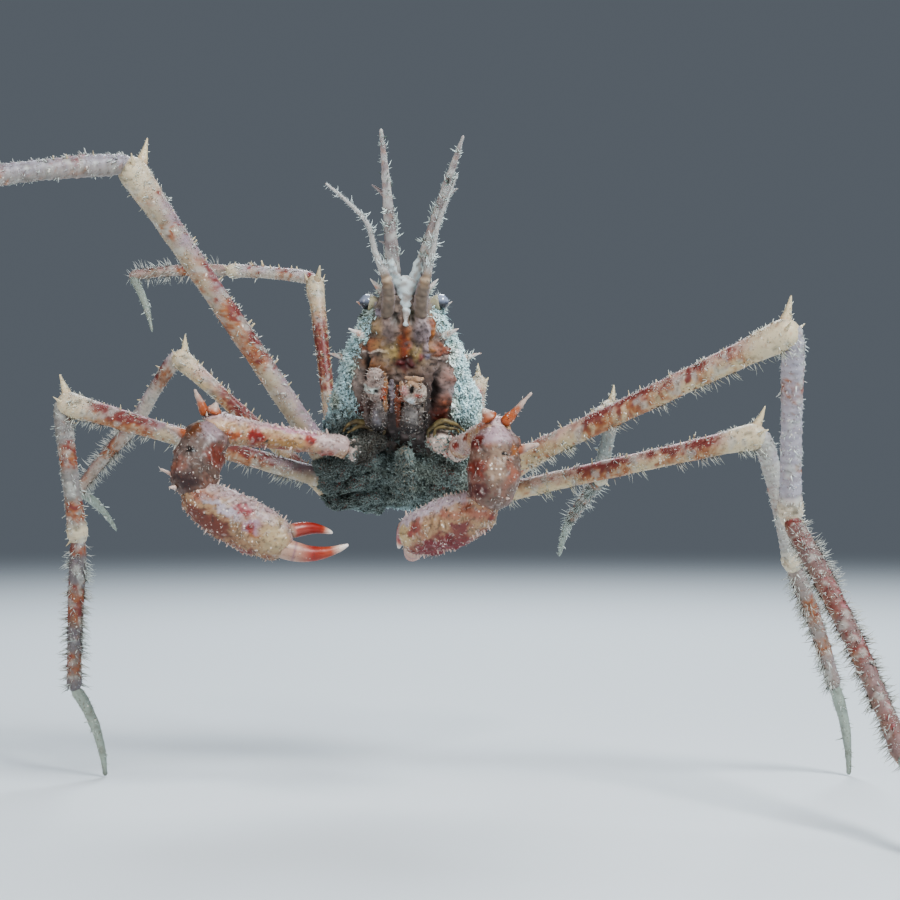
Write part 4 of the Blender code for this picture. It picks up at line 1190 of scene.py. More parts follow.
def add_spinelets(skin, path, girth, count, chance):
    """A loose row of small thorns on top of a segment."""
    for k in range(count):
        t = 0.12 + 0.8 * (k + chance.random()) / count
        along = (path(t + 0.01) - path(t - 0.01)).normalized()
        side_way, out = cross_axes(along, SKYWARD)
        out = (out + side_way * chance.uniform(-0.9, 0.9)).normalized()
        base = path(t) + out * girth * 0.6
        tip = base + out * (girth * 0.4 + chance.uniform(0.5, 1.5)) + along * 0.5
        add_thorn(skin, base, tip, 0.38, THORN, sides=8, step=0.4)


def make_leg(pair, side_name):
    girth = LEG_GIRTH[pair]
    places = leg_joints(pair, side_name)
    stands = LEG_POSES[(pair, side_name)][DACTYLUS][1] == FOOT
    total = sum(LEG_LENGTHS[pair])
    skin = Skin()
    travelled = 0.0
    for kind, bow_share in enumerate(SEGMENT_BOWS):
        start, end = places[kind], places[kind + 1]
        length = (end - start).length
        if kind == DACTYLUS and stands:
            end = end + SKYWARD * TIP_LIFT
        span = (LEG_SPAN * travelled / total, LEG_SPAN * (travelled + length) / total - SPAN_GAP)
        path = bowed_path(start, end, length * bow_share)
        add_limb_tube(skin, path, segment_stations(kind, girth, stands), LIMB_SIDES, LIMB_STEP, kind, span)
        travelled += length
    thorns = knee_thorns(places[MERUS], places[CARPUS], girth)
    thorns.append(ankle_thorn(places[CARPUS], places[PROPODUS], girth, SIDES[side_name]))
    for root, tip, radius in thorns:
        add_thorn(skin, root, tip, radius, THORN, bow=-0.3, sides=12, step=0.4)
    chance = random.Random(pair * 10 + SIDES[side_name])
    for kind, count in LEG_SPINELETS:
        path = bowed_path(places[kind], places[kind + 1], 0.02 * LEG_LENGTHS[pair][kind] * kind)
        add_spinelets(skin, path, girth, count, chance)
    skin.settle()
    return skin


# %% [markdown]
# Three coats grow on a leg: short fuzz, combs of long bristles along the third segment, and granules.

# %% Coat of the legs
def comb_cover(skin, toward, width):
    """Cover for one edge of the propodus, on the side that faces toward."""
    across = toward - np.sum(skin.lie * toward, axis=1)[:, None] * skin.lie
    across /= np.maximum(np.linalg.norm(across, axis=1), 1e-6)[:, None]
    facing = np.sum(skin.out * across, axis=1)
    return smooth_step(1.0 - width, 1.0 - width * 0.4, facing) * (skin.part == PROPODUS)


GRAIN = dict(lean=0.0, splay=0.0, smallest=0.4, largest=1.3)
LEG_GRAINS = dict(GRAIN, spacing=0.0017, thickness=0.00024)
LEG_FUZZ = dict(spacing=0.00048, length=0.0008, thickness=0.00014, lean=0.2, splay=1.0, curl=0.4, blunt=0.35,
                smallest=0.4, largest=1.5, rings=1)
COMB = dict(spacing=0.00036, length=0.0029, thickness=0.00013, lean=0.7, splay=0.14, curl=0.25, smallest=0.6,
            largest=1.25)
# Ridges round the second segment: height, and radians per unit of place
RIDGE_HEIGHT = 0.11
RIDGE_RATE = 144.0
# Wool and bristles start this high above the floor
DRY_HEIGHT = 2.2


def dress_leg(pair, side_name, seed):
    skin = make_leg(pair, side_name)
    side = SIDES[side_name]
    key = (pair, side_name)
    skin.tint = limb_paint(skin, LEG_BANDS.get(key, {}), seed, LEG_TONES_AND_SHADE.get(key, {}))
    waves = np.sin(skin.place * RIDGE_RATE + 2.0 * lumps(skin.points, 3.0, seed + 3))
    ridges = RIDGE_HEIGHT * waves * (skin.part == CARPUS)
    # The crests of the ridges are painted lighter and the grooves darker: painted light and shade.
    skin.tint *= (1.0 + 0.7 * ridges)[:, None]
    skin.swell(limb_relief(skin, seed) + ridges)
    skin.points[:, 2] = np.maximum(skin.points[:, 2], 0.0)
    prefix = "leg%d_%s" % (pair, side_name)
    nodes = ["%s_%s" % (prefix, segment) for segment in SEGMENT_NAMES]
    keep(skin.build(prefix + "_shell", LIMB_SHELL), "banded", *nodes)
    above = skin.points[:, 2] > DRY_HEIGHT
    clump = smooth_step(-0.25, 0.35, lumps(skin.points, 4.5, seed + 8))
    upper = smooth_step(-0.6, 0.8, skin.out[:, 2])
    fuzz = (0.2 + 0.8 * clump) * (0.4 + 0.6 * upper) * above * (skin.place < 0.98) * (skin.part != DACTYLUS)
    fuzz += 0.3 * (skin.part == DACTYLUS) * above
    pale = skin.tint * 0.3 + pigment("dfe6df") * 0.7
    down = skin.lie * 0.75 + skin.out * 0.2 + np.array((0.0, 0.0, -0.1))
    size = 0.55 + 1.1 * smooth_step(0.05, 0.5, lumps(skin.points, 1.6, seed + 15))
    keep(grow(prefix + "_fuzz", skin, TUFTS, BRISTLE, fuzz, down, pale, size, seed=seed, **LEG_FUZZ),
         "banded")
    comb = comb_cover(skin, np.array((-0.6 * side, 0.0, -0.8)), 0.2)
    comb = np.maximum(comb, comb_cover(skin, np.array((0.8 * side, 0.0, 0.6)), 0.10) * 0.6)
    comb *= smooth_step(-0.12, 0.22, lumps(skin.points, 1.5, seed + 16)) * smooth_step(0.02, 0.2, skin.place)
    comb = np.maximum(comb, 0.05 * (skin.part == PROPODUS))
    beard = 0.3 * (skin.part == MERUS) * smooth_step(-0.7, -0.95, skin.out[:, 2]) * clump
    comb = np.maximum(comb, beard) * above
    combed = skin.out * 0.95 + skin.lie * 0.35
    keep(grow(prefix + "_comb", skin, TUFTS, BRISTLE, comb, combed, pale * 0.9, seed=seed + 40, **COMB),
         "banded")
    rows = smooth_step(0.25, 0.5, lumps(skin.points, 1.7, seed + 9)) * above * (0.3 + 0.7 * upper)
    grain_tint = skin.tint * 0.3 + pigment("f6ece2") * 0.7
    keep(grow(prefix + "_grains", skin, BEADS, BEAD, rows, skin.lie, grain_tint, seed=seed + 80,
              **LEG_GRAINS), "banded")


for number, (pair, side_name) in enumerate(LEG_POSES):
    dress_leg(pair, side_name, 100 + number * 10)

# %% [markdown]
# The claws are stouter than the legs: a merus, a knobbed carpus with thorns, a swollen palm that ends in
# the fixed finger, and the free finger. They are tan, salmon and red under pale granules, and the tips of the
# fingers are white.

# %% Measures and markings of the claws
# Numbers of the parts of a claw skin that aren't its shell
FINGER = 7
SPINELET = 8
CLAW_ROOT = (15.0, -7.0, -16.0)
CLAW_GIRTH = 3.1
CLAW_LENGTHS = (40.0, 18.5, 31.0)
CLAW_POSES = {
    "left": [(-76, 6), (-165, -85), (142, -18)],
    "right": [(-20, 8), (-50, -67), (179, -28)],
}
FINGER_REACH = {"left": (16.5, 14.0), "right": (16.0, 10.5)}
CLAW_FINGERS = {
    "left": {"fixed": (87, -8), "free": (92, -26), "lift": 3.2},
    "right": {"fixed": (172, 6), "free": (150, 2), "lift": 3.4},
}
# (place, radius) along each piece
ARM_STATIONS = [(0.0, CLAW_GIRTH), (0.3, 2.9), (0.7, 3.5), (0.93, 4.3), (1.02, 3.7), (1.06, 2.2)]
WRIST_STATIONS = [(0.0, 4.0), (0.22, 6.1), (0.6, 6.5), (0.95, 5.6), (1.1, 3.5)]
PALM_STATIONS = [(-0.06, 3.0), (0.08, 5.0), (0.35, 6.6), (0.65, 6.6), (0.9, 5.3), (1.0, 3.6)]
FIXED_STATIONS = [(0.0, 2.9), (0.3, 2.6), (0.65, 1.7), (0.9, 0.9), (1.0, 0.45)]
FREE_STATIONS = [(0.0, 2.0), (0.3, 1.9), (0.65, 1.35), (0.9, 0.75), (1.0, 0.4)]
PALM_FLAT = 0.72
WRIST_SHADE = {"left": 0.8, "right": 0.58}
PALM_SHADE = {"left": 0.88, "right": 0.76}
ARM_SPINELETS = 24
WRIST_SPINELETS = 16
PALM_SPINELETS = 40
SALMON = pigment("a9705c")
CLAW_TAN = pigment("b0906f")
CLAW_RED = pigment("7e2a22")
CLAW_LILAC_AND_HIGHLIGHT = pigment("b9a3aa")
CLAW_DUSK = pigment("7c6559")
# Colours from the root of a finger to its tip
FINGER_TONES = {0.0: "b59d8c", 0.3: "b08a78", 0.52: "922c22", 0.76: "a2492e", 0.9: "d8c4b4", 1.0: "e6e0da"}
# Markings of each claw piece: (place along it, height across it, half place, half height, colour)
CLAW_MARKS = {
    "right": {
        "merus": [
            (0.12, 0.2, 0.16, 0.9, "b29c98"), (0.48, -0.5, 0.15, 0.4, "a07c50"),
            (0.3, 0.1, 0.06, 0.4, "8f3a34"),
            (0.69, -0.2, 0.075, 0.6, "86221a"), (0.86, -0.35, 0.08, 0.25, "a65a34"),
            (0.61, -0.5, 0.016, 0.12, "2e2c26"), (0.42, 0.75, 0.2, 0.3, "b07f8a"),
        ],
        "carpus": [
            (0.42, -0.1, 0.3, 0.9, "8d7a72"), (0.15, 0.3, 0.2, 0.6, "b9a0a6"),
            (0.06, -0.6, 0.1, 0.3, "a6b9b4"),
            (0.25, -0.5, 0.15, 0.3, "8a5636"), (0.5, 0.7, 0.15, 0.35, "8f4636"),
            # The dark mauve mark at the lower end of the carpus ("4b2d2b") is painted shade.
            (0.93, -0.1, 0.12, 0.7, "4b2d2b"), (0.55, -0.25, 0.05, 0.13, "1a1415"),
            (0.3, 0.3, 0.05, 0.2, "c9bdbf"),
        ],
        "palm": [
            # The lilac-white band high on the palm ("bfb4bd") is a painted highlight.
            (0.85, 0.0, 0.16, 0.9, "bda783"), (0.33, 0.25, 0.2, 0.24, "bfb4bd"),
            (0.49, 0.6, 0.09, 0.25, "97454a"),
            (0.62, 0.05, 0.09, 0.32, "b294a2"), (0.62, 0.05, 0.05, 0.18, "8f3733"),
            (0.66, -0.2, 0.06, 0.15, "a66f45"), (0.27, -0.75, 0.28, 0.35, "7c4234"),
            (0.44, -0.12, 0.03, 0.09, "cfc9c6"), (0.23, -0.5, 0.016, 0.08, "2e2c26"),
            (0.55, -0.6, 0.012, 0.06, "2e2c26"),
        ],
    },
    "left": {
        "merus": [
            (0.3, 0.0, 0.25, 0.9, "b9a5a0"), (0.2, -0.2, 0.07, 0.3, "8a3a30"),
            (0.5, 0.2, 0.08, 0.3, "93492f"),
            (0.75, 0.0, 0.1, 0.5, "a68c80"),
        ],
        "carpus": [
            (0.1, 0.0, 0.15, 0.9, "bda4ab"), (0.25, -0.8, 0.1, 0.3, "702419"),
            (0.6, -0.7, 0.12, 0.35, "7c3020"),
            (0.86, -0.6, 0.1, 0.45, "501616"), (0.5, 0.1, 0.25, 0.4, "a38a76"),
            (0.3, 0.8, 0.08, 0.2, "a0653a"),
            (0.36, 0.35, 0.016, 0.07, "201d20"), (0.45, 0.55, 0.014, 0.06, "201d20"),
        ],
        "palm": [
            (0.9, 0.1, 0.15, 0.75, "bfa982"), (0.6, 0.8, 0.5, 0.25, "bcacb4"),
            (0.74, 0.05, 0.09, 0.3, "974d46"),
            (0.6, -0.95, 0.3, 0.4, "7a2c30"), (0.28, -0.6, 0.12, 0.3, "80423e"),
            (0.15, 0.1, 0.08, 0.25, "8f5138"),
            (0.35, 0.3, 0.016, 0.06, "2e2c26"), (1.0, 0.0, 0.035, 1.5, "9b6a5d"),
        ],
    },
}
# The thorns on each wrist: (x of the tip, z of the tip, radius, place on the wrist)
WRIST_THORNS = {
    "left": [(40.6, 108.8, 1.2, 0.1), (28.0, 104.7, 1.9, 0.05), (42.5, 95.5, 1.5, 0.4)],
    "right": [(-49.0, 110.3, 1.15, 0.05), (-43.1, 106.8, 2.0, 0.02), (-57.6, 89.0, 0.8, 0.9),
              (-43.6, 90.0, 0.7, 0.9), (-56.6, 100.5, 1.5, 0.3)],
}
CLAW_GRAINS = dict(GRAIN, spacing=0.0012, thickness=0.00027, smallest=0.35)
CLAW_FUZZ = dict(spacing=0.00055, length=0.0006, thickness=0.00010, lean=0.35, splay=0.8, curl=0.35,
                 blunt=0.4, smallest=0.4, largest=1.6, rings=1)

# %% [markdown]
# A claw is painted like a leg, then marked by place and height, because its large patches face the camera.

# %% Paint and coat of the claws
def claw_paint(skin, seed, ground, red_share):
    """Ground colour with lilac along the top, partly its own colour and partly a painted highlight; red
    patches and a red lower edge; the thorns are orange.
    """
    cloud = lumps(skin.points, 4.2, seed)
    ragged = lumps(skin.points, 1.5, seed + 1)
    spots = lumps(skin.points, 0.8, seed + 2)
    rise = skin.out[:, 2] + 0.25 * ragged
    tint = blended(ground, SALMON, smooth_step(-0.1, 0.6, cloud))
    # Lilac along the top: partly the shell's own colour, partly a painted highlight where the light falls.
    wash(tint, CLAW_LILAC_AND_HIGHLIGHT, 0.8 * smooth_step(0.25, 0.9, rise))
    back = smooth_step(-0.2, 0.5, skin.out[:, 1])
    red = smooth_step(0.42 - red_share, 0.75 - red_share, cloud * 0.9 + ragged * 0.45) * (0.25 + 0.75 * back)
    red = np.maximum(red, smooth_step(-0.6, -0.95, rise) * smooth_step(-0.3, 0.3, cloud))
    red = np.clip(red + 0.35 * smooth_step(0.34, 0.48, spots), 0.0, 1.0)
    wash(tint, CLAW_RED, red * 0.85)
    wash(tint, pigment("4b3f38"), smooth_step(0.42, 0.5, lumps(skin.points, 1.1, seed + 3)) * 0.5)
    thorn = blended(pigment("a0552f"), pigment("b9a499"), smooth_step(0.3, 0.8, skin.place + 0.3 * ragged))
    tint = np.where((skin.part == THORN)[:, None], thorn, tint)
    tint = np.where((skin.part == SPINELET)[:, None], pigment("cbb4a8"), tint)
    return np.clip(tint, 0.0, 1.0)


def add_claw_marks(skin, marks, across, seed):
    """Markings by place along the piece and height across it, on the side that faces forwards."""
    shell = skin.part == 0
    height = skin.out @ as_row(across) + 0.3 * lumps(skin.points, 2.0, seed)
    height += 0.15 * lumps(skin.points, 0.8, seed + 1)
    place = skin.place + 0.035 * lumps(skin.points, 2.2, seed + 2)
    shown = smooth_step(0.5, -0.1, skin.out[:, 1]) * shell
    for middle, level, half_place, half_height, colour in marks:
        reach = np.hypot((place - middle) / half_place, (height - level) / half_height)
        wash(skin.tint, pigment(colour), smooth_step(1.35, 0.55, reach) * shown)
    flecks = smooth_step(0.38, 0.48, lumps(skin.points, 1.1, seed + 3)) * 0.4 * shell
    wash(skin.tint, pigment("c9bfba"), flecks)
    pits = smooth_step(0.36, 0.44, lumps(skin.points, 0.8, seed + 4)) * 0.55 * shell
    wash(skin.tint, pigment("4a3a33"), pits)


def finger_tint(skin, here):
    """From the palm's pink through red and orange to a white tip, with a violet line at the root."""
    t = skin.place
    columns = zip(*(tone(code) for code in FINGER_TONES.values()))
    shade = np.column_stack([np.interp(t, list(FINGER_TONES), column) for column in columns])
    early = smooth_step(0.04, 0.16, t) * smooth_step(0.8, 0.62, t) * here.all()
    wash(shade, pigment("8e261c"), 0.85 * early)
    line = smooth_step(0.03, 0.0, np.abs(t - 0.27)) * 0.6 * (not here.all())
    wash(shade, pigment("6a4560"), line)
    return np.where(here[:, None], shade, skin.tint)


def dress_claw_piece(name, skin, slot, seed, ground, red_share, marks=(), across=SKYWARD, shade=1.0):
    """Paint a finished claw skin, roughen it, and grow its granules and short bristles."""
    finger = skin.part == FINGER
    shell = skin.part == 0
    skin.tint = claw_paint(skin, seed, ground, red_share)
    add_claw_marks(skin, marks, across, seed + 11)
    skin.tint = finger_tint(skin, finger) * np.where(shell, shade, 1.0)[:, None]
    knobs = smooth_step(0.15, 0.55, lumps(skin.points, 1.5, seed + 13)) * 0.35 * shell
    skin.swell(limb_relief(skin, seed) * np.where(finger, 0.5, 1.5) + knobs)
    keep(skin.build(name + "_shell", FINGER_SHELL if finger.all() else CLAW_SHELL), slot, name)
    if finger.all():
        return
    grain = smooth_step(0.15, 0.5, lumps(skin.points, 2.2, seed + 9)) * shell
    grain_tint = skin.tint * 0.62 + pigment("e0d4c8") * 0.38
    keep(grow(name + "_grains", skin, BEADS, BEAD, grain, skin.lie, grain_tint, seed=seed, **CLAW_GRAINS),
         slot)
    edge = smooth_step(0.5, 0.95, np.abs(skin.out[:, 2]))
    patches = smooth_step(0.1, 0.45, lumps(skin.points, 3.0, seed + 12))
    fuzz = (0.06 + 0.6 * patches * (0.3 + 0.7 * edge) + 0.25 * edge) * ~finger
    pale = skin.tint * 0.4 + pigment("d5d2cb") * 0.6
    lie = skin.lie * 0.6 + skin.out * 0.4
    keep(grow(name + "_fuzz", skin, TUFTS, BRISTLE, fuzz, lie, pale, seed=seed + 3, **CLAW_FUZZ), slot)


# %% [markdown]
# Each claw is made of four skins, from the body outwards. Their small thorns share one seeded generator.

# %% Pieces of the claws
def claw_joints(side_name):
    side = SIDES[side_name]
    places = [in_world(side * CLAW_ROOT[0], CLAW_ROOT[1], CLAW_ROOT[2])]
    for (azimuth, elevation), length in zip(CLAW_POSES[side_name], CLAW_LENGTHS):
        places.append(places[-1] + heading(side, azimuth, elevation) * length)
    return places


def make_arm(side_name, root, wrist, seed, chance):
    skin = Skin()
    path = bowed_path(root, wrist, 0.0)
    add_limb_tube(skin, path, ARM_STATIONS, 72, 0.35, 0, (0.0, 0.95))
    along = (wrist - root).normalized()
    for k in range(ARM_SPINELETS):
        t = 0.1 + 0.86 * (k + chance.random()) / ARM_SPINELETS
        out = (SKYWARD * chance.choice((1.0, 1.0, -1.0)) + FORWARD * chance.uniform(-0.2, 0.9)).normalized()
        base = path(t) + out * 2.2
        add_thorn(skin, base, base + out * chance.uniform(1.3, 2.5) + along * 0.6, 0.55, SPINELET, sides=8)
    skin.settle()
    across = (SKYWARD - along * along.z).normalized()
    dress_claw_piece("claw_%s_merus" % side_name, skin, "banded", seed, CLAW_TAN, 0.12,
                     CLAW_MARKS[side_name]["merus"], across)


def make_wrist(side_name, wrist, heel, seed, chance):
    skin = Skin()
    path = bowed_path(wrist - (heel - wrist) * 0.1, heel, 0.0)
    add_limb_tube(skin, path, WRIST_STATIONS, 108, 0.33, 0, (0.0, 0.95))
    for x, z, radius, t in WRIST_THORNS[side_name]:
        middle = path(t)
        tip = Vector((x, middle.y - 1.5, z))
        base = middle + (tip - middle).normalized() * 2.5
        add_thorn(skin, base, tip, radius * 1.25, THORN, sides=16, blunt=0.2)
    outer = Vector((SIDES[side_name], 0.0, 0.0))
    for _ in range(WRIST_SPINELETS):
        t = chance.uniform(0.15, 0.95)
        turn = (outer * chance.uniform(-1.0, 1.0) + FORWARD * chance.uniform(-0.1, 0.8)
                + SKYWARD * chance.uniform(-0.3, 0.3)).normalized()
        base = path(t) + turn * 4.2
        add_thorn(skin, base, base + turn * chance.uniform(1.4, 2.4), 0.55, SPINELET, sides=8)
    skin.settle()
    knobs = lumps(skin.points, 5.0, seed + 7) * 0.7 + lumps(skin.points, 2.5, seed + 8) * 0.35
    skin.swell(knobs * (skin.part == 0))
    dress_claw_piece("claw_%s_carpus" % side_name, skin, "claw", seed + 20, CLAW_DUSK, 0.02,
                     CLAW_MARKS[side_name]["carpus"], LEFT, WRIST_SHADE[side_name])


def make_hand(side_name, heel, knuckle, lift, seed, chance):
    """The palm and the fixed finger, which are one piece of shell."""
    along = (knuckle - heel).normalized()
    skin = Skin()
    path = bowed_path(heel, knuckle, -1.0)
    add_limb_tube(skin, path, PALM_STATIONS, 108, 0.33, 0, (0.0, 0.6), PALM_FLAT)
    point = heading(SIDES[side_name], *CLAW_FINGERS[side_name]["fixed"])
    tip = knuckle - lift * 0.5 + point * FINGER_REACH[side_name][0]
    finger_path = bowed_path(knuckle - lift * 0.55 - along * 4.5, tip, -2.6)
    add_limb_tube(skin, finger_path, FIXED_STATIONS, 40, 0.35, FINGER, (0.62, 0.95))
    for k in range(PALM_SPINELETS):
        t = 0.03 + 0.87 * (k + chance.random()) / PALM_SPINELETS
        edge = lift.normalized() * (1.0 if k % 2 else -1.0)
        turn = (edge + FORWARD * chance.uniform(-0.15, 0.3)).normalized()
        base = path(t) + turn * between(PALM_STATIONS, t)[0] * 0.75
        add_thorn(skin, base, base + turn * chance.uniform(1.9, 2.8), 0.45, SPINELET, sides=8)
    skin.settle()
    knobs = lumps(skin.points, 6.0, seed + 17) * 0.4 + lumps(skin.points, 2.5, seed + 18) * 0.22
    skin.swell(knobs * (skin.part == 0))
    dress_claw_piece("claw_%s_palm" % side_name, skin, "claw", seed + 40, CLAW_TAN, 0.05,
                     CLAW_MARKS[side_name]["palm"], lift.normalized(), PALM_SHADE[side_name])


def make_free_finger(side_name, heel, knuckle, lift, seed):
    along = (knuckle - heel).normalized()
    point = heading(SIDES[side_name], *CLAW_FINGERS[side_name]["free"])
    tip = knuckle + lift * 0.9 + point * FINGER_REACH[side_name][1]
    path = bowed_path(knuckle + lift * 0.75 - along * 2.5, tip, 1.2)
    skin = Skin()
    add_limb_tube(skin, path, FREE_STATIONS, 24, 0.35, FINGER, (0.0, 0.95))
    skin.settle()
    dress_claw_piece("claw_%s_finger" % side_name, skin, "finger", seed + 60, CLAW_TAN, 0.0)


def make_claw(side_name, seed):
    root, wrist, heel, knuckle = claw_joints(side_name)
    chance = random.Random(seed)
    make_arm(side_name, root, wrist, seed, chance)
    make_wrist(side_name, wrist, heel, seed, chance)
    along = (knuckle - heel).normalized()
    lift = (SKYWARD - along * along.z).normalized() * CLAW_FINGERS[side_name]["lift"]
    make_hand(side_name, heel, knuckle, lift, seed, chance)
    make_free_finger(side_name, heel, knuckle, lift, seed)


make_claw("left", 300)
make_claw("right", 400)

# %% [markdown]
# Every limb grows from a short, thick first joint on the underside. The joints are one piece, half hidden
# in wool, and bridge the body and the first long segment of each limb.

# %% First joints of the limbs
# (place, share of the limb's girth) along a first joint
BASE_GIRTHS = [(0.0, 1.0), (0.3, 1.12), (0.42, 0.98), (0.62, 1.15), (0.8, 1.1), (0.9, 1.0), (1.0, 1.1)]
BASE_GRAINS = dict(GRAIN, spacing=0.0011, thickness=0.00036)


def loft_limb_bases():
    roots = [(SIDES[side_name], leg_root(pair, side_name), pose[MERUS], LEG_GIRTH[pair])
             for (pair, side_name), pose in LEG_POSES.items()]
    roots += [(SIDES[side_name], CLAW_ROOT, pose[MERUS], CLAW_GIRTH)
              for side_name, pose in CLAW_POSES.items()]
    skin = Skin()
    for k, (side, (left, ahead, up), point, girth) in enumerate(roots):
        direction = heading(side, *point)
        outer = in_world(side * left, ahead, up)
        inside = in_world(side * 6.5, ahead + 1.0, -10.2)
        elbow = outer - direction * 3.0
        path = path_through([inside, inside.lerp(elbow, 0.55), elbow, outer + direction * 1.2])
        girth *= 0.85 if ahead < -25.0 else 1.0
        stations = [(t, girth * share) for t, share in BASE_GIRTHS]
        add_limb_tube(skin, path, stations, LIMB_SIDES, 0.45, k, (0.095 * k, 0.095 * k + 0.09))
    skin.settle()
    return skin


def make_limb_bases():
    skin = loft_limb_bases()
    of_claw = skin.part >= len(LEG_POSES)
    cloud = lumps(skin.points, 2.0, 171)
    # The dark grey-brown ground of the leg bases is painted shade under the body; the claw bases are pale.
    ground = np.where(of_claw[:, None], pigment("c4b2a8"), pigment("5e544c"))
    skin.tint = blended(ground, pigment("93402c"), smooth_step(0.05, 0.4, cloud))
    left = body_frame(skin.points)[0]
    # The inner root of the right claw, on the side away from the key light, is painted near black and its
    # wool dark brown: painted shade where it meets the body.
    sunk = of_claw * smooth_step(-14.6, -11.8, left + 3.0 * cloud) * (left < 0.0)
    wash(skin.tint, pigment("2c211e"), 0.9 * sunk)
    skin.swell(limb_relief(skin, 172) * 2.4 + 0.3 * cloud)
    keep(skin.build("limb_bases", LIMB_SHELL), "underside")
    cover = np.where(of_claw, 0.35 * smooth_step(-0.1, 0.3, lumps(skin.points, 2.0, 174)), 1.0)
    cover *= np.where(of_claw, 1.0, smooth_step(1.0, 0.9, skin.place))
    cover = np.maximum(cover, sunk)
    coat = wool_tint_and_shade(skin)
    # Painted shade on the wool at the right claw's root.
    wash(coat, pigment("46372e"), 0.72 * sunk)
    on_left = skin.points[:, 0] >= BODY_CENTRE.x
    for side_name, half in (("left", on_left), ("right", ~on_left)):
        keep(grow("limb_bases_wool_" + side_name, skin, TUFTS, WOOL, cover * half, skin.lie * 0.7, coat,
                  seed=175, **FLEECE), "underside")
    grain = of_claw * (1.0 - sunk) * smooth_step(-0.1, 0.3, lumps(skin.points, 1.5, 176))
    grain_tint = skin.tint * 0.3 + pigment("efe6e0") * 0.7
    keep(grow("limb_bases_grains", skin, BEADS, BEAD, grain, skin.lie, grain_tint, seed=177, **BASE_GRAINS),
         "underside")


make_limb_bases()

# %% [markdown]
# The rostrum is two long spines that part like a V. Curled bristles cling to them, some dark with silt. The
# feelers start as stout joints beside it and run out as thin whips.

# %% Rostrum and feelers
ROSTRUM_LEAN = 6.0
ROSTRUM_SPREAD = 9.5
ROSTRUM_LENGTH = 52.0
ROSTRUM_ROOT = (2.25, 27.5, 3.0)
ROSTRUM_STATIONS = [(0.0, 2.0), (0.22, 1.95), (0.45, 1.6), (0.7, 1.15), (0.9, 0.7), (1.0, 0.4)]
ANTENNA_ROUTES = {
    "right": [(-4.6, 27.0, -3.4), (-4.0, 33.5, -3.2), (-4.6, 38.5, -2.6), (-7.3, 45.0, -1.0),
              (-9.5, 53.0, 1.0), (-14.5, 58.5, 2.5), (-20.5, 63.5, 4.0)],
    "left": [(4.6, 27.0, -3.4), (4.9, 33.5, -3.2), (6.1, 38.5, -2.6), (7.9, 45.0, -0.5),
             (9.2, 52.0, 1.5), (11.8, 59.0, 3.0), (14.5, 66.0, 4.5)],
}
ANTENNA_RADII = (1.8, 1.85, 1.4, 0.75, 0.6, 0.5, 0.3)
ANTENNA_STATIONS = [(k / 6, radius) for k, radius in enumerate(ANTENNA_RADII)]
LILAC = pigment("998c8b")
CHALK = pigment("bdbab6")
TAN = pigment("877058")
ROSTRUM_WOOL = dict(spacing=0.00036, length=0.0012, thickness=0.00013, lean=0.3, splay=0.9, curl=0.5,
                    blunt=0.3, smallest=0.4, largest=1.5, rings=2)
FEELER_HAIRS = dict(spacing=0.00042, length=0.0013, thickness=0.00010, lean=0.4, splay=0.8, curl=0.4,
                    blunt=0.3, smallest=0.4, largest=1.4)


def rostrum_direction(side):
    turn = math.radians(ROSTRUM_LEAN + side * ROSTRUM_SPREAD)
    return (LEFT * math.sin(turn) + AHEAD * math.cos(turn)).normalized()


def make_rostral_spine(side_name, seed):
    side = SIDES[side_name]
    left, ahead, up = ROSTRUM_ROOT
    root = in_world(side * left, ahead, up)
    tip = root + rostrum_direction(side) * ROSTRUM_LENGTH
    skin = Skin()
    path = bowed_path(root, tip, 1.0)
    add_limb_tube(skin, path, ROSTRUM_STATIONS, 24, 0.4, 0, (0.0, 0.9))
    upper = path(0.62)
    add_thorn(skin, upper, upper + LEFT * side * 4.2 + AHEAD * 3.2 + UP * 0.6, 0.8, 1)
    lower = path(0.34)
    add_thorn(skin, lower, lower + LEFT * side * 3.4 + AHEAD * 1.6 - UP * 0.6, 0.7, 1)
    skin.settle()
    cloud = lumps(skin.points, 2.6, seed)
    skin.tint = blended(LILAC, CHALK, smooth_step(-0.3, 0.4, cloud))
    wash(skin.tint, CHALK, smooth_step(0.24, 0.1, skin.place) * (skin.part == 0))
    wash(skin.tint, pigment("b08a76"), smooth_step(0.3, 0.6, lumps(skin.points, 1.6, seed + 1)) * 0.45)
    skin.swell(lumps(skin.points, 1.4, seed + 2) * 0.14)
    keep(skin.build("rostrum_%s_shell" % side_name, BONE), "bone", "rostral_spine_" + side_name)
    tuft = smooth_step(-0.1, 0.35, lumps(skin.points, 3.0, seed + 3)) * smooth_step(0.16, 0.3, skin.place)
    pale = all_over(skin, "d5dfda")
    pale[lumps(skin.points, 1.2, seed + 4) > 0.35] = tone("5c6a60")
    size = 0.5 + 1.3 * smooth_step(0.1, 0.5, lumps(skin.points, 1.4, seed + 6))
    lie = skin.lie * 0.5 + skin.out * 0.5
    keep(grow("rostrum_%s_wool" % side_name, skin, TUFTS, BRISTLE, tuft, lie, pale, size, seed=seed,
              **ROSTRUM_WOOL), "bone")


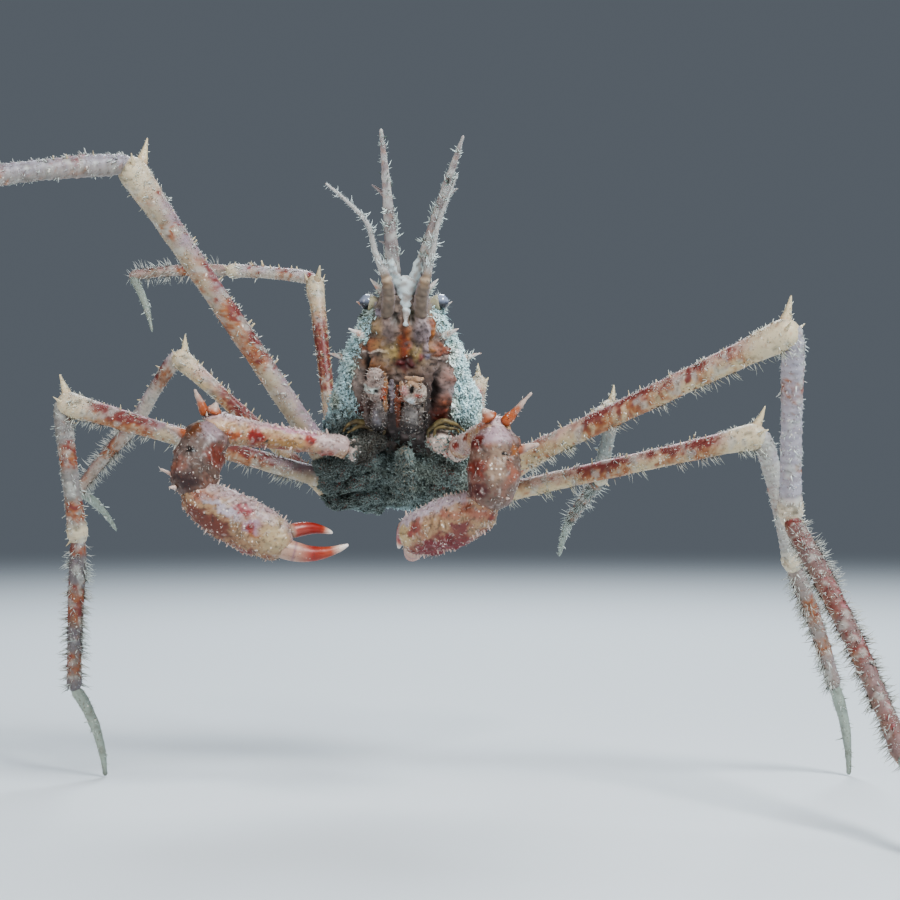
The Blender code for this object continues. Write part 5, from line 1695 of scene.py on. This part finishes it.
def make_antenna(side_name, seed):
    places = [in_world(*place) for place in ANTENNA_ROUTES[side_name]]
    skin = Skin()
    add_limb_tube(skin, path_through(places), ANTENNA_STATIONS, 18, 0.35, 0, (0.0, 0.95))
    skin.settle()
    stout = smooth_step(0.42, 0.34, skin.place)
    ring = sum(smooth_step(0.012, 0.0, np.abs(skin.place - middle)) for middle in (0.18, 0.345))
    front = -towards(skin, UP) + 0.3 * lumps(skin.points, 0.8, seed)
    hollow = blended(pigment("73665a"), TAN, smooth_step(0.24, 0.33, skin.place))
    blotch = 1.0 + 0.35 * lumps(skin.points, 0.9, seed + 3) + 0.2 * lumps(skin.points, 2.0, seed + 4)
    hollow = hollow * blotch[:, None]
    rims = blended(LILAC * 0.9, hollow, smooth_step(0.2, 0.75, front))
    wash(rims, pigment("b9a792"), 0.7 * smooth_step(0.03, 0.0, np.abs(skin.place - 0.33)))
    skin.tint = blended(CHALK * 0.85, rims, stout)
    skin.swell(lumps(skin.points, 1.0, seed + 2) * (0.08 + 0.25 * stout) - ring * 0.2)
    keep(skin.build("feeler_%s" % side_name, BONE), "bone", "antenna_" + side_name)
    whip = smooth_step(0.34, 0.42, skin.place)
    knots = 0.35 + 1.2 * smooth_step(0.0, 0.5, lumps(skin.points, 1.8, seed + 6))
    lie = skin.lie * 0.4 + skin.out * 0.6
    keep(grow("feeler_%s_hairs" % side_name, skin, TUFTS, BRISTLE, whip, lie, all_over(skin, "dfe8e6"), knots,
              seed=seed, **FEELER_HAIRS), "bone")


for side_name, seed in (("left", 510), ("right", 540)):
    make_rostral_spine(side_name, seed)
    make_antenna(side_name, seed + 5)

# %% [markdown]
# Each eye is a glassy ball on a short stalk, with a pale rim round the cornea. The cornea has its own dark,
# clear-coated finish, which takes the reflections of the lights as the real eye does; its upper half also
# carries a painted highlight.

# %% Eyes
EYE_PLACE = (10.2, 28.3, 3.0)
EYE_RADIUS = 2.15
FACET_SCALE = 9000.0
# (place, radius) along the stalk, which ends in a cup round the ball
STALK_STATIONS = [(0.0, 1.5), (0.3, 1.55), (0.62, 2.0), (0.85, 2.28), (1.0, 2.3), (1.04, 2.2)]
EYE_HAIRS = dict(spacing=0.0005, length=0.0012, thickness=0.00007, lean=0.6, splay=0.3, curl=0.3)


def cornea_finish():
    material, graph, shader = start_material("cornea")
    facets = pattern(graph, "Voronoi", FACET_SCALE)
    graph.plug(shader.inputs["Base Color"], tint_paint(graph))
    bump = graph.node("ShaderNodeBump", None, {"Strength": 0.15, "Distance": 0.00002, "Height": facets})
    graph.plug(shader.inputs["Normal"], bump)
    shader.inputs["Roughness"].default_value = 0.12
    shader.inputs["Coat Weight"].default_value = 1.0
    shader.inputs["Coat Roughness"].default_value = 0.03
    return material


CORNEA = cornea_finish()


def make_ball(side_name, centre, out):
    """The cornea: a ball with its back cut off, dark below and painted pale above as a highlight."""
    skin = Skin()
    stations = []
    for i in range(19):
        angle = math.radians(-62 + 152 * i / 18)
        stations.append((math.sin(angle), max(math.cos(angle), 0.02) * EYE_RADIUS))
    add_limb_tube(skin, lambda t: centre + out * (EYE_RADIUS * t), stations, 40, 0.12, 0, (0.0, 0.95))
    skin.settle()
    high = (skin.points - as_row(centre))[:, 2] / EYE_RADIUS
    # The upper half is painted pale: a painted highlight on the dark cornea.
    skin.tint = blended(pigment("969cae"), pigment("0b0e1c"), smooth_step(0.25, -0.35, high))
    keep(skin.build("cornea_%s" % side_name, CORNEA), "cornea", "eye_" + side_name)


def make_eye(side_name, seed):
    side = SIDES[side_name]
    left, ahead, up = EYE_PLACE
    centre = in_world(side * left, ahead, up)
    root = in_world(side * (left - 5.0), ahead - 1.0, up)
    out = (centre - root).normalized()
    make_ball(side_name, centre, out)
    stalk = Skin()
    path = bowed_path(root, centre + out * 0.3, 0.0)
    add_limb_tube(stalk, path, STALK_STATIONS, 30, 0.25, 0, (0.0, 0.95))
    stalk.settle()
    violet = smooth_step(0.6, 0.2, stalk.place + 0.3 * lumps(stalk.points, 0.9, seed + 1))
    stalk.tint = blended(pigment("b5ae92"), pigment("a99fb0"), violet)
    wash(stalk.tint, pigment("f2efea"), smooth_step(0.86, 0.98, stalk.place))
    stalk.swell(lumps(stalk.points, 0.9, seed) * 0.08)
    keep(stalk.build("eye_stalk_%s" % side_name, BONE), "bone")
    brow = smooth_step(0.5, 0.9, stalk.place) * (stalk.out[:, 2] > 0.1)
    keep(grow("eye_hairs_%s" % side_name, stalk, TUFTS, BRISTLE, brow, stalk.out, all_over(stalk, "e9eeee"),
              seed=seed, **EYE_HAIRS), "bone")
    print("eye", side_name, "stalk length, mm:", round((centre - root).length, 1))


make_eye("left", 601)
make_eye("right", 611)

# %% [markdown]
# Lobes, spines and rims frame the face: the orbits, the brows, the cheeks, the white spine between the
# feelers, the web of the rostrum, and the curved rims round the roots of the claws.

# %% Lobes and spines of the body
# Spines of the back: (left, ahead, degrees above the side, length); those off the middle come in pairs
BACK_SPINES = [
    (0.0, 15.0, 90, 4.0), (0.0, 6.0, 90, 4.5), (0.0, -9.0, 90, 5.0), (0.0, -30.5, 90, 6.0),
    (15.0, -6.0, 50, 4.5), (17.0, -19.0, 45, 4.5), (15.5, 12.0, 12, 4.0),
]
# Spines beside the face: (root, tip, radius) on the left side
FACE_SPINES = [
    ((6.5, 23.5, 3.6), (13.2, 27.4, 5.0), 1.5),
    ((4.5, 28.0, 6.0), (9.4, 33.2, 7.4), 1.3),
    ((9.0, 20.0, -3.0), (15.0, 24.5, -5.2), 1.5),
]
# Parts of the white web that joins the roots of the rostral spines: (start, end, stations)
WEB_PARTS = [
    ((0.3, 28.0, -2.6), (-3.9, 42.5, 2.2), [(0.0, 1.1), (0.5, 1.5), (0.85, 1.3), (1.0, 0.9)]),
    ((0.3, 28.0, -2.6), (4.6, 42.5, 2.2), [(0.0, 1.1), (0.5, 1.5), (0.85, 1.3), (1.0, 0.9)]),
    ((0.6, 29.4, -3.6), (0.5, 37.6, 0.9), [(0.0, 1.3), (0.3, 1.9), (0.6, 2.9), (0.85, 3.8), (1.0, 3.3)]),
]
# Number of the web among the parts of this skin
WEB = 2
SPINE_WOOL = dict(spacing=0.0006, length=0.0014, thickness=0.00018, lean=0.4, splay=0.5, curl=0.4)


def outward(ahead, angle):
    """The direction straight out of the body's outline."""
    step = 0.02
    round_way = outline_point(ahead, angle + step, 0.0) - outline_point(ahead, angle - step, 0.0)
    long_way = outline_point(ahead + 0.5, angle, 0.0) - outline_point(ahead - 0.5, angle, 0.0)
    normal = round_way.cross(long_way).normalized()
    middle = in_world(0.0, ahead, 0.0)
    return normal if normal.dot(outline_point(ahead, angle, 0.0) - middle) > 0 else -normal


def make_spines():
    skin = Skin()
    for left, ahead, lift, length in BACK_SPINES:
        for side in ((1, -1) if left else (1,)):
            angle = math.radians(lift)
            if left:
                width = between(BODY_STATIONS, ahead)[0]
                angle = min(math.acos(min(left / width, 0.98)), angle)
            if side < 0:
                angle = math.pi - angle
            out = outward(ahead, angle)
            surface = outline_point(ahead, angle, 0.0)
            add_thorn(skin, surface - out * 4.5, surface + out * length - AHEAD, 1.3, 0, sides=14)
    for side in (1, -1):
        for root, tip, radius in FACE_SPINES:
            ends = [in_world(side * left, ahead, up) for left, ahead, up in (root, tip)]
            add_thorn(skin, *ends, radius, 1, sides=16)
    add_thorn(skin, in_world(0.7, 30.0, -3.2), in_world(0.6, 26.2, -7.0), 1.15, WEB, sides=16, blunt=0.8)
    for start, end, stations in WEB_PARTS:
        path = bowed_path(in_world(*start), in_world(*end), 0.0)
        add_limb_tube(skin, path, stations, 24, 0.35, WEB, (0.0, 0.9), 0.45, UP)
    skin.settle()
    web = skin.part == WEB
    cloud = lumps(skin.points, 1.6, 71)
    spine_tint = blended(pigment("d8d2cc"), pigment("c99b86"), smooth_step(-0.1, 0.5, cloud))
    web_tint = blended(pigment("c4cfd0"), pigment("a09a95"), smooth_step(-0.1, 0.4, cloud))
    skin.tint = np.where(web[:, None], web_tint, spine_tint)
    skin.swell(lumps(skin.points, 1.1, 72) * np.where(web, 0.4, 0.12))
    keep(skin.build("body_spines", BONE), "bone")
    tuft = ~web * smooth_step(0.9, 0.5, skin.place) * 0.8
    lie = skin.lie * 0.6 + skin.out * 0.4
    keep(grow("spine_wool", skin, TUFTS, WOOL, tuft, lie, all_over(skin, "dbe6df"), seed=73, **SPINE_WOOL),
         "wool")


def make_claw_rims():
    """Olive folds of soft skin round the root of each claw."""
    skin = Skin()
    for side, reach in ((1, 1.0), (-1, 1.15)):
        for k in range(2):
            points = []
            for i in range(7):
                turn = math.radians(200 - 32 * i)
                wander = 0.35 * math.sin(2.1 * i + 1.7 * k + side)
                left = side * (11.5 + (5.0 - 1.5 * k + wander) * math.cos(turn) * reach)
                ahead = -4.2 + (3.4 - 1.3 * k + wander) * math.sin(turn)
                points.append(in_world(left, ahead, -13.0 - 0.4 * k + 0.5 * math.sin(turn)))
            stations = [(0.0, 0.3), (0.5, 0.85 - 0.2 * k), (1.0, 0.25)]
            add_limb_tube(skin, path_through(points), stations, 16, 0.3, k, (0.3 * k, 0.3 * k + 0.28))
    skin.settle()
    olive = smooth_step(-0.3, 0.5, lumps(skin.points, 1.4, 81))
    skin.tint = blended(pigment("4b3f28"), pigment("80724c"), olive)
    keep(skin.build("claw_root_folds", BODY_SKIN), "shell")


make_spines()
make_claw_rims()

# %% [markdown]
# The outer mouthparts are two flaps side by side over the mouth. Each is made of overlapping lobes and ridges
# with folds, granules and a fringe.

# %% Mouthparts
# Each lobe: (left, ahead) of its rear end and of its front end, radius, how proud it stands, colour
LOBES = {
    "left": [
        ((2.2, -3.6), (2.4, 6.6), 3.3, 0.0, "7d7672"), ((2.3, 5.4), (2.7, 12.4), 3.8, 0.5, "a3958a"),
        ((6.2, -2.0), (6.5, 10.6), 0.9, 0.3, "4b413e"), ((-0.9, 12.6), (1.2, 7.6), 1.0, 1.6, "a9886e"),
        ((-1.7, -1.5), (-1.7, 11.0), 0.8, 0.6, "8a4a2e"), ((0.2, 13.3), (5.6, 13.0), 0.75, 1.4, "a98a70"),
    ],
    "right": [
        ((-7.2, -3.0), (-6.6, 7.0), 2.5, 0.0, "7a716e"), ((-7.4, 6.0), (-7.7, 15.6), 2.8, 0.4, "9b8a82"),
        ((-4.9, 3.5), (-5.4, 14.5), 0.85, 0.9, "a07c5c"), ((-3.3, 3.0), (-3.3, 12.5), 0.95, 0.3, "7c7277"),
        ((-10.2, -1.0), (-10.4, 12.6), 0.8, 0.2, "75665f"), ((-9.6, 12.6), (-5.6, 14.6), 0.7, 1.2, "b29c90"),
        ((-9.4, 10.4), (-5.8, 11.6), 0.6, 1.3, "a58e83"),
    ],
}
# (place, share of the radius) along a lobe
LOBE_GIRTHS = [(0.0, 0.55), (0.15, 0.86), (0.45, 1.0), (0.8, 0.9), (1.0, 0.55)]
# Marks on the lobes, as on the face; the dark patches at their rear ends are painted shadow
LOBE_MARKS = {
    "left": [
        (2.4, 10.4, 1.0, 0.8, 0, -0.9, "1c1a17", 0.5), (0.2, 10.2, 1.0, 1.2, 0, 0.3, "b98a86", 0.7),
        (4.2, 9.0, 1.1, 0.8, 20, 0.3, "8f4a40", 0.7), (1.8, 7.6, 1.2, 0.9, 0, 0.5, "c5ccd0", 0.7),
        (-0.9, 7.0, 1.0, 2.2, 0, 0.2, "93451f", 0.7), (5.2, 7.6, 0.8, 3.4, 0, 0.3, "c0b2a4", 0.7),
        # The dark patch at the rear end ("332c2b") is painted shadow.
        (3.0, 12.0, 3.2, 0.8, 0, 0.3, "a98a70", 0.7), (2.0, -3.0, 4.0, 2.6, 0, 0.0, "332c2b", 0.9),
        (2.6, 2.0, 1.4, 2.4, 15, 0.2, "a5a09c", 0.9), (5.0, 5.2, 0.5, 0.5, 0, -0.4, "1f1a18", 0.6),
    ],
    "right": [
        (-5.5, 9.0, 0.9, 2.2, 0, 0.3, "a8481e", 0.7), (-8.6, 9.8, 2.6, 0.9, -8, 0.5, "b4c0ba", 0.8),
        (-6.9, 9.4, 0.7, 0.6, 0, -0.6, "2a2624", 0.6), (-7.6, 1.6, 0.9, 3.6, 12, 0.2, "a29da2", 0.9),
        # The dark patch at the rear end ("332c2b") is painted shadow.
        (-7.2, -2.4, 3.4, 2.4, 0, 0.0, "332c2b", 0.9), (-9.4, 5.0, 1.4, 2.0, 0, 0.0, "5f4640", 0.9),
        (-6.4, 12.9, 2.0, 0.6, 8, 0.0, "5a4740", 0.7),
    ],
}
MOUTH_FRINGE = dict(spacing=0.00055, length=0.0008, thickness=0.00010, lean=0.5, splay=0.7, curl=0.5,
                    blunt=0.3, rings=2)
MOUTH_BEADS = dict(GRAIN, spacing=0.00075, thickness=0.00022, largest=1.4)


def lobe_place(rear, front, t, proud):
    """A place along a lobe, lying on the underside of the body."""
    left = rear[0] + (front[0] - rear[0]) * t
    ahead = rear[1] + (front[1] - rear[1]) * t
    bottom = between(BODY_STATIONS, ahead)[3]
    return in_world(left, ahead, bottom - 0.3 - proud)


def make_mouthparts(side_name, seed):
    """Overlapping lobes and ridges, a fringe of bristles along their edges, and granules."""
    skin = Skin()
    for k, (rear, front, radius, proud, _) in enumerate(LOBES[side_name]):
        stations = [(t, radius * share) for t, share in LOBE_GIRTHS]
        path = path_through([lobe_place(rear, front, i / 6, proud) for i in range(7)])
        sides = max(16, int(radius * 14))
        add_limb_tube(skin, path, stations, sides, 0.22, k, (0.13 * k, 0.13 * k + 0.12), 0.55, UP)
    skin.settle()
    colours = np.array([tone(row[4]) for row in LOBES[side_name]])
    skin.tint = colours[skin.part]
    lift = np.zeros(len(skin.points))
    add_marks(skin, LOBE_MARKS[side_name], skin.tint, lift, seed)
    hollow = lumps(skin.points, 1.1, seed + 4)
    # Part of the blotching follows the hollow noise, which also raises and sinks the lobes, so the sunk
    # places are darker: painted shade.
    blotch = 1.0 + 0.45 * lumps(skin.points, 0.6, seed + 5) + 0.3 * hollow
    shadow = smooth_step(10.0, -1.0, body_frame(skin.points)[1])
    skin.tint = np.clip(skin.tint * (blotch * (0.94 - 0.44 * shadow))[:, None], 0.0, 1.0)
    outer = smooth_step(0.1, -0.5, towards(skin, UP))
    rough = hollow * 0.42 + lumps(skin.points, 0.6, seed + 6) * 0.12 + lumps(skin.points, 2.4, seed + 7) * 0.5
    skin.swell(lift * outer + rough)
    keep(skin.build("mouth_flap_%s" % side_name, BODY_SKIN), "shell", "maxilliped_" + side_name)
    pale = all_over(skin, "c3bbb3")
    pale[lumps(skin.points, 0.9, seed + 2) > 0.25] = tone("8a5a48")
    pale *= (1.0 - 0.5 * shadow)[:, None]
    edge = smooth_step(0.25, 0.9, np.abs(skin.out[:, 0]))
    lie = skin.lie * 0.3 + skin.out * 0.6
    keep(grow("mouth_fringe_%s" % side_name, skin, TUFTS, BRISTLE, outer * (0.2 + 0.8 * edge), lie, pale,
              seed=seed, **MOUTH_FRINGE), "shell")
    bead_cover = outer * smooth_step(0.0, 0.35, hollow)
    bead_tint = skin.tint * 0.6 + pigment("dcd6d0") * 0.4
    keep(grow("mouth_beads_%s" % side_name, skin, BEADS, BEAD, bead_cover, skin.lie, bead_tint, seed=seed,
              **MOUTH_BEADS), "shell")


# %% [markdown]
# Behind the mouthparts the tail lies folded under the body, six narrow plates long. A wave in its width and
# thickness makes the plates.

# %% Tail
TAIL_END = -27.0
TAIL_LENGTH = 18.5
TAIL_PLATES = 6.0
TAIL_RINGS = 72
TAIL_SIDES = 32


def make_tail():
    skin = Skin()
    rows, places, alongs = [], [], []
    for i in range(TAIL_RINGS + 1):
        t = i / TAIL_RINGS
        ahead = TAIL_END + TAIL_LENGTH * t
        wave = abs(math.sin(math.pi * t * TAIL_PLATES))
        half = (4.6 - 2.6 * t) * (0.9 + 0.12 * wave) * math.sqrt(max(1.0 - (2 * t - 1) ** 10, 0.03))
        bottom = between(BODY_STATIONS, ahead)[3]
        thick = 1.3 + 0.45 * wave
        row = []
        for k in range(TAIL_SIDES):
            turn = 2.0 * math.pi * k / TAIL_SIDES
            row.append(in_world(half * math.cos(turn), ahead, bottom - 0.1 + thick * math.sin(turn)))
        rows.append(row)
        places.append(t)
        alongs.append(-AHEAD)
    skin.add_tube(rows, places, alongs, 0, (0.0, 0.95))
    skin.settle()
    skin.tint = pigment("b9ab9a") * (1.0 + 0.3 * lumps(skin.points, 1.2, 91))[:, None]
    skin.swell(lumps(skin.points, 1.2, 92) * 0.12)
    keep(skin.build("tail_plates", BODY_SKIN), "bone", "pleon")
    under = towards(skin, UP) < 0.2
    keep(grow("tail_wool", skin, TUFTS, WOOL, 0.9 * under, skin.lie, wool_tint_and_shade(skin), seed=93, **FLEECE),
         "wool")


make_mouthparts("left", 701)
make_mouthparts("right", 711)
make_tail()

# %% Measure the dressed model
dressed_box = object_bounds()
for label, box in (("solid", solid_box), ("dressed", dressed_box)):
    print(label, "box, mm:", [round(1000.0 * value, 1) for corner in box for value in corner])
print("coat triangles:", sum(coat_counts))
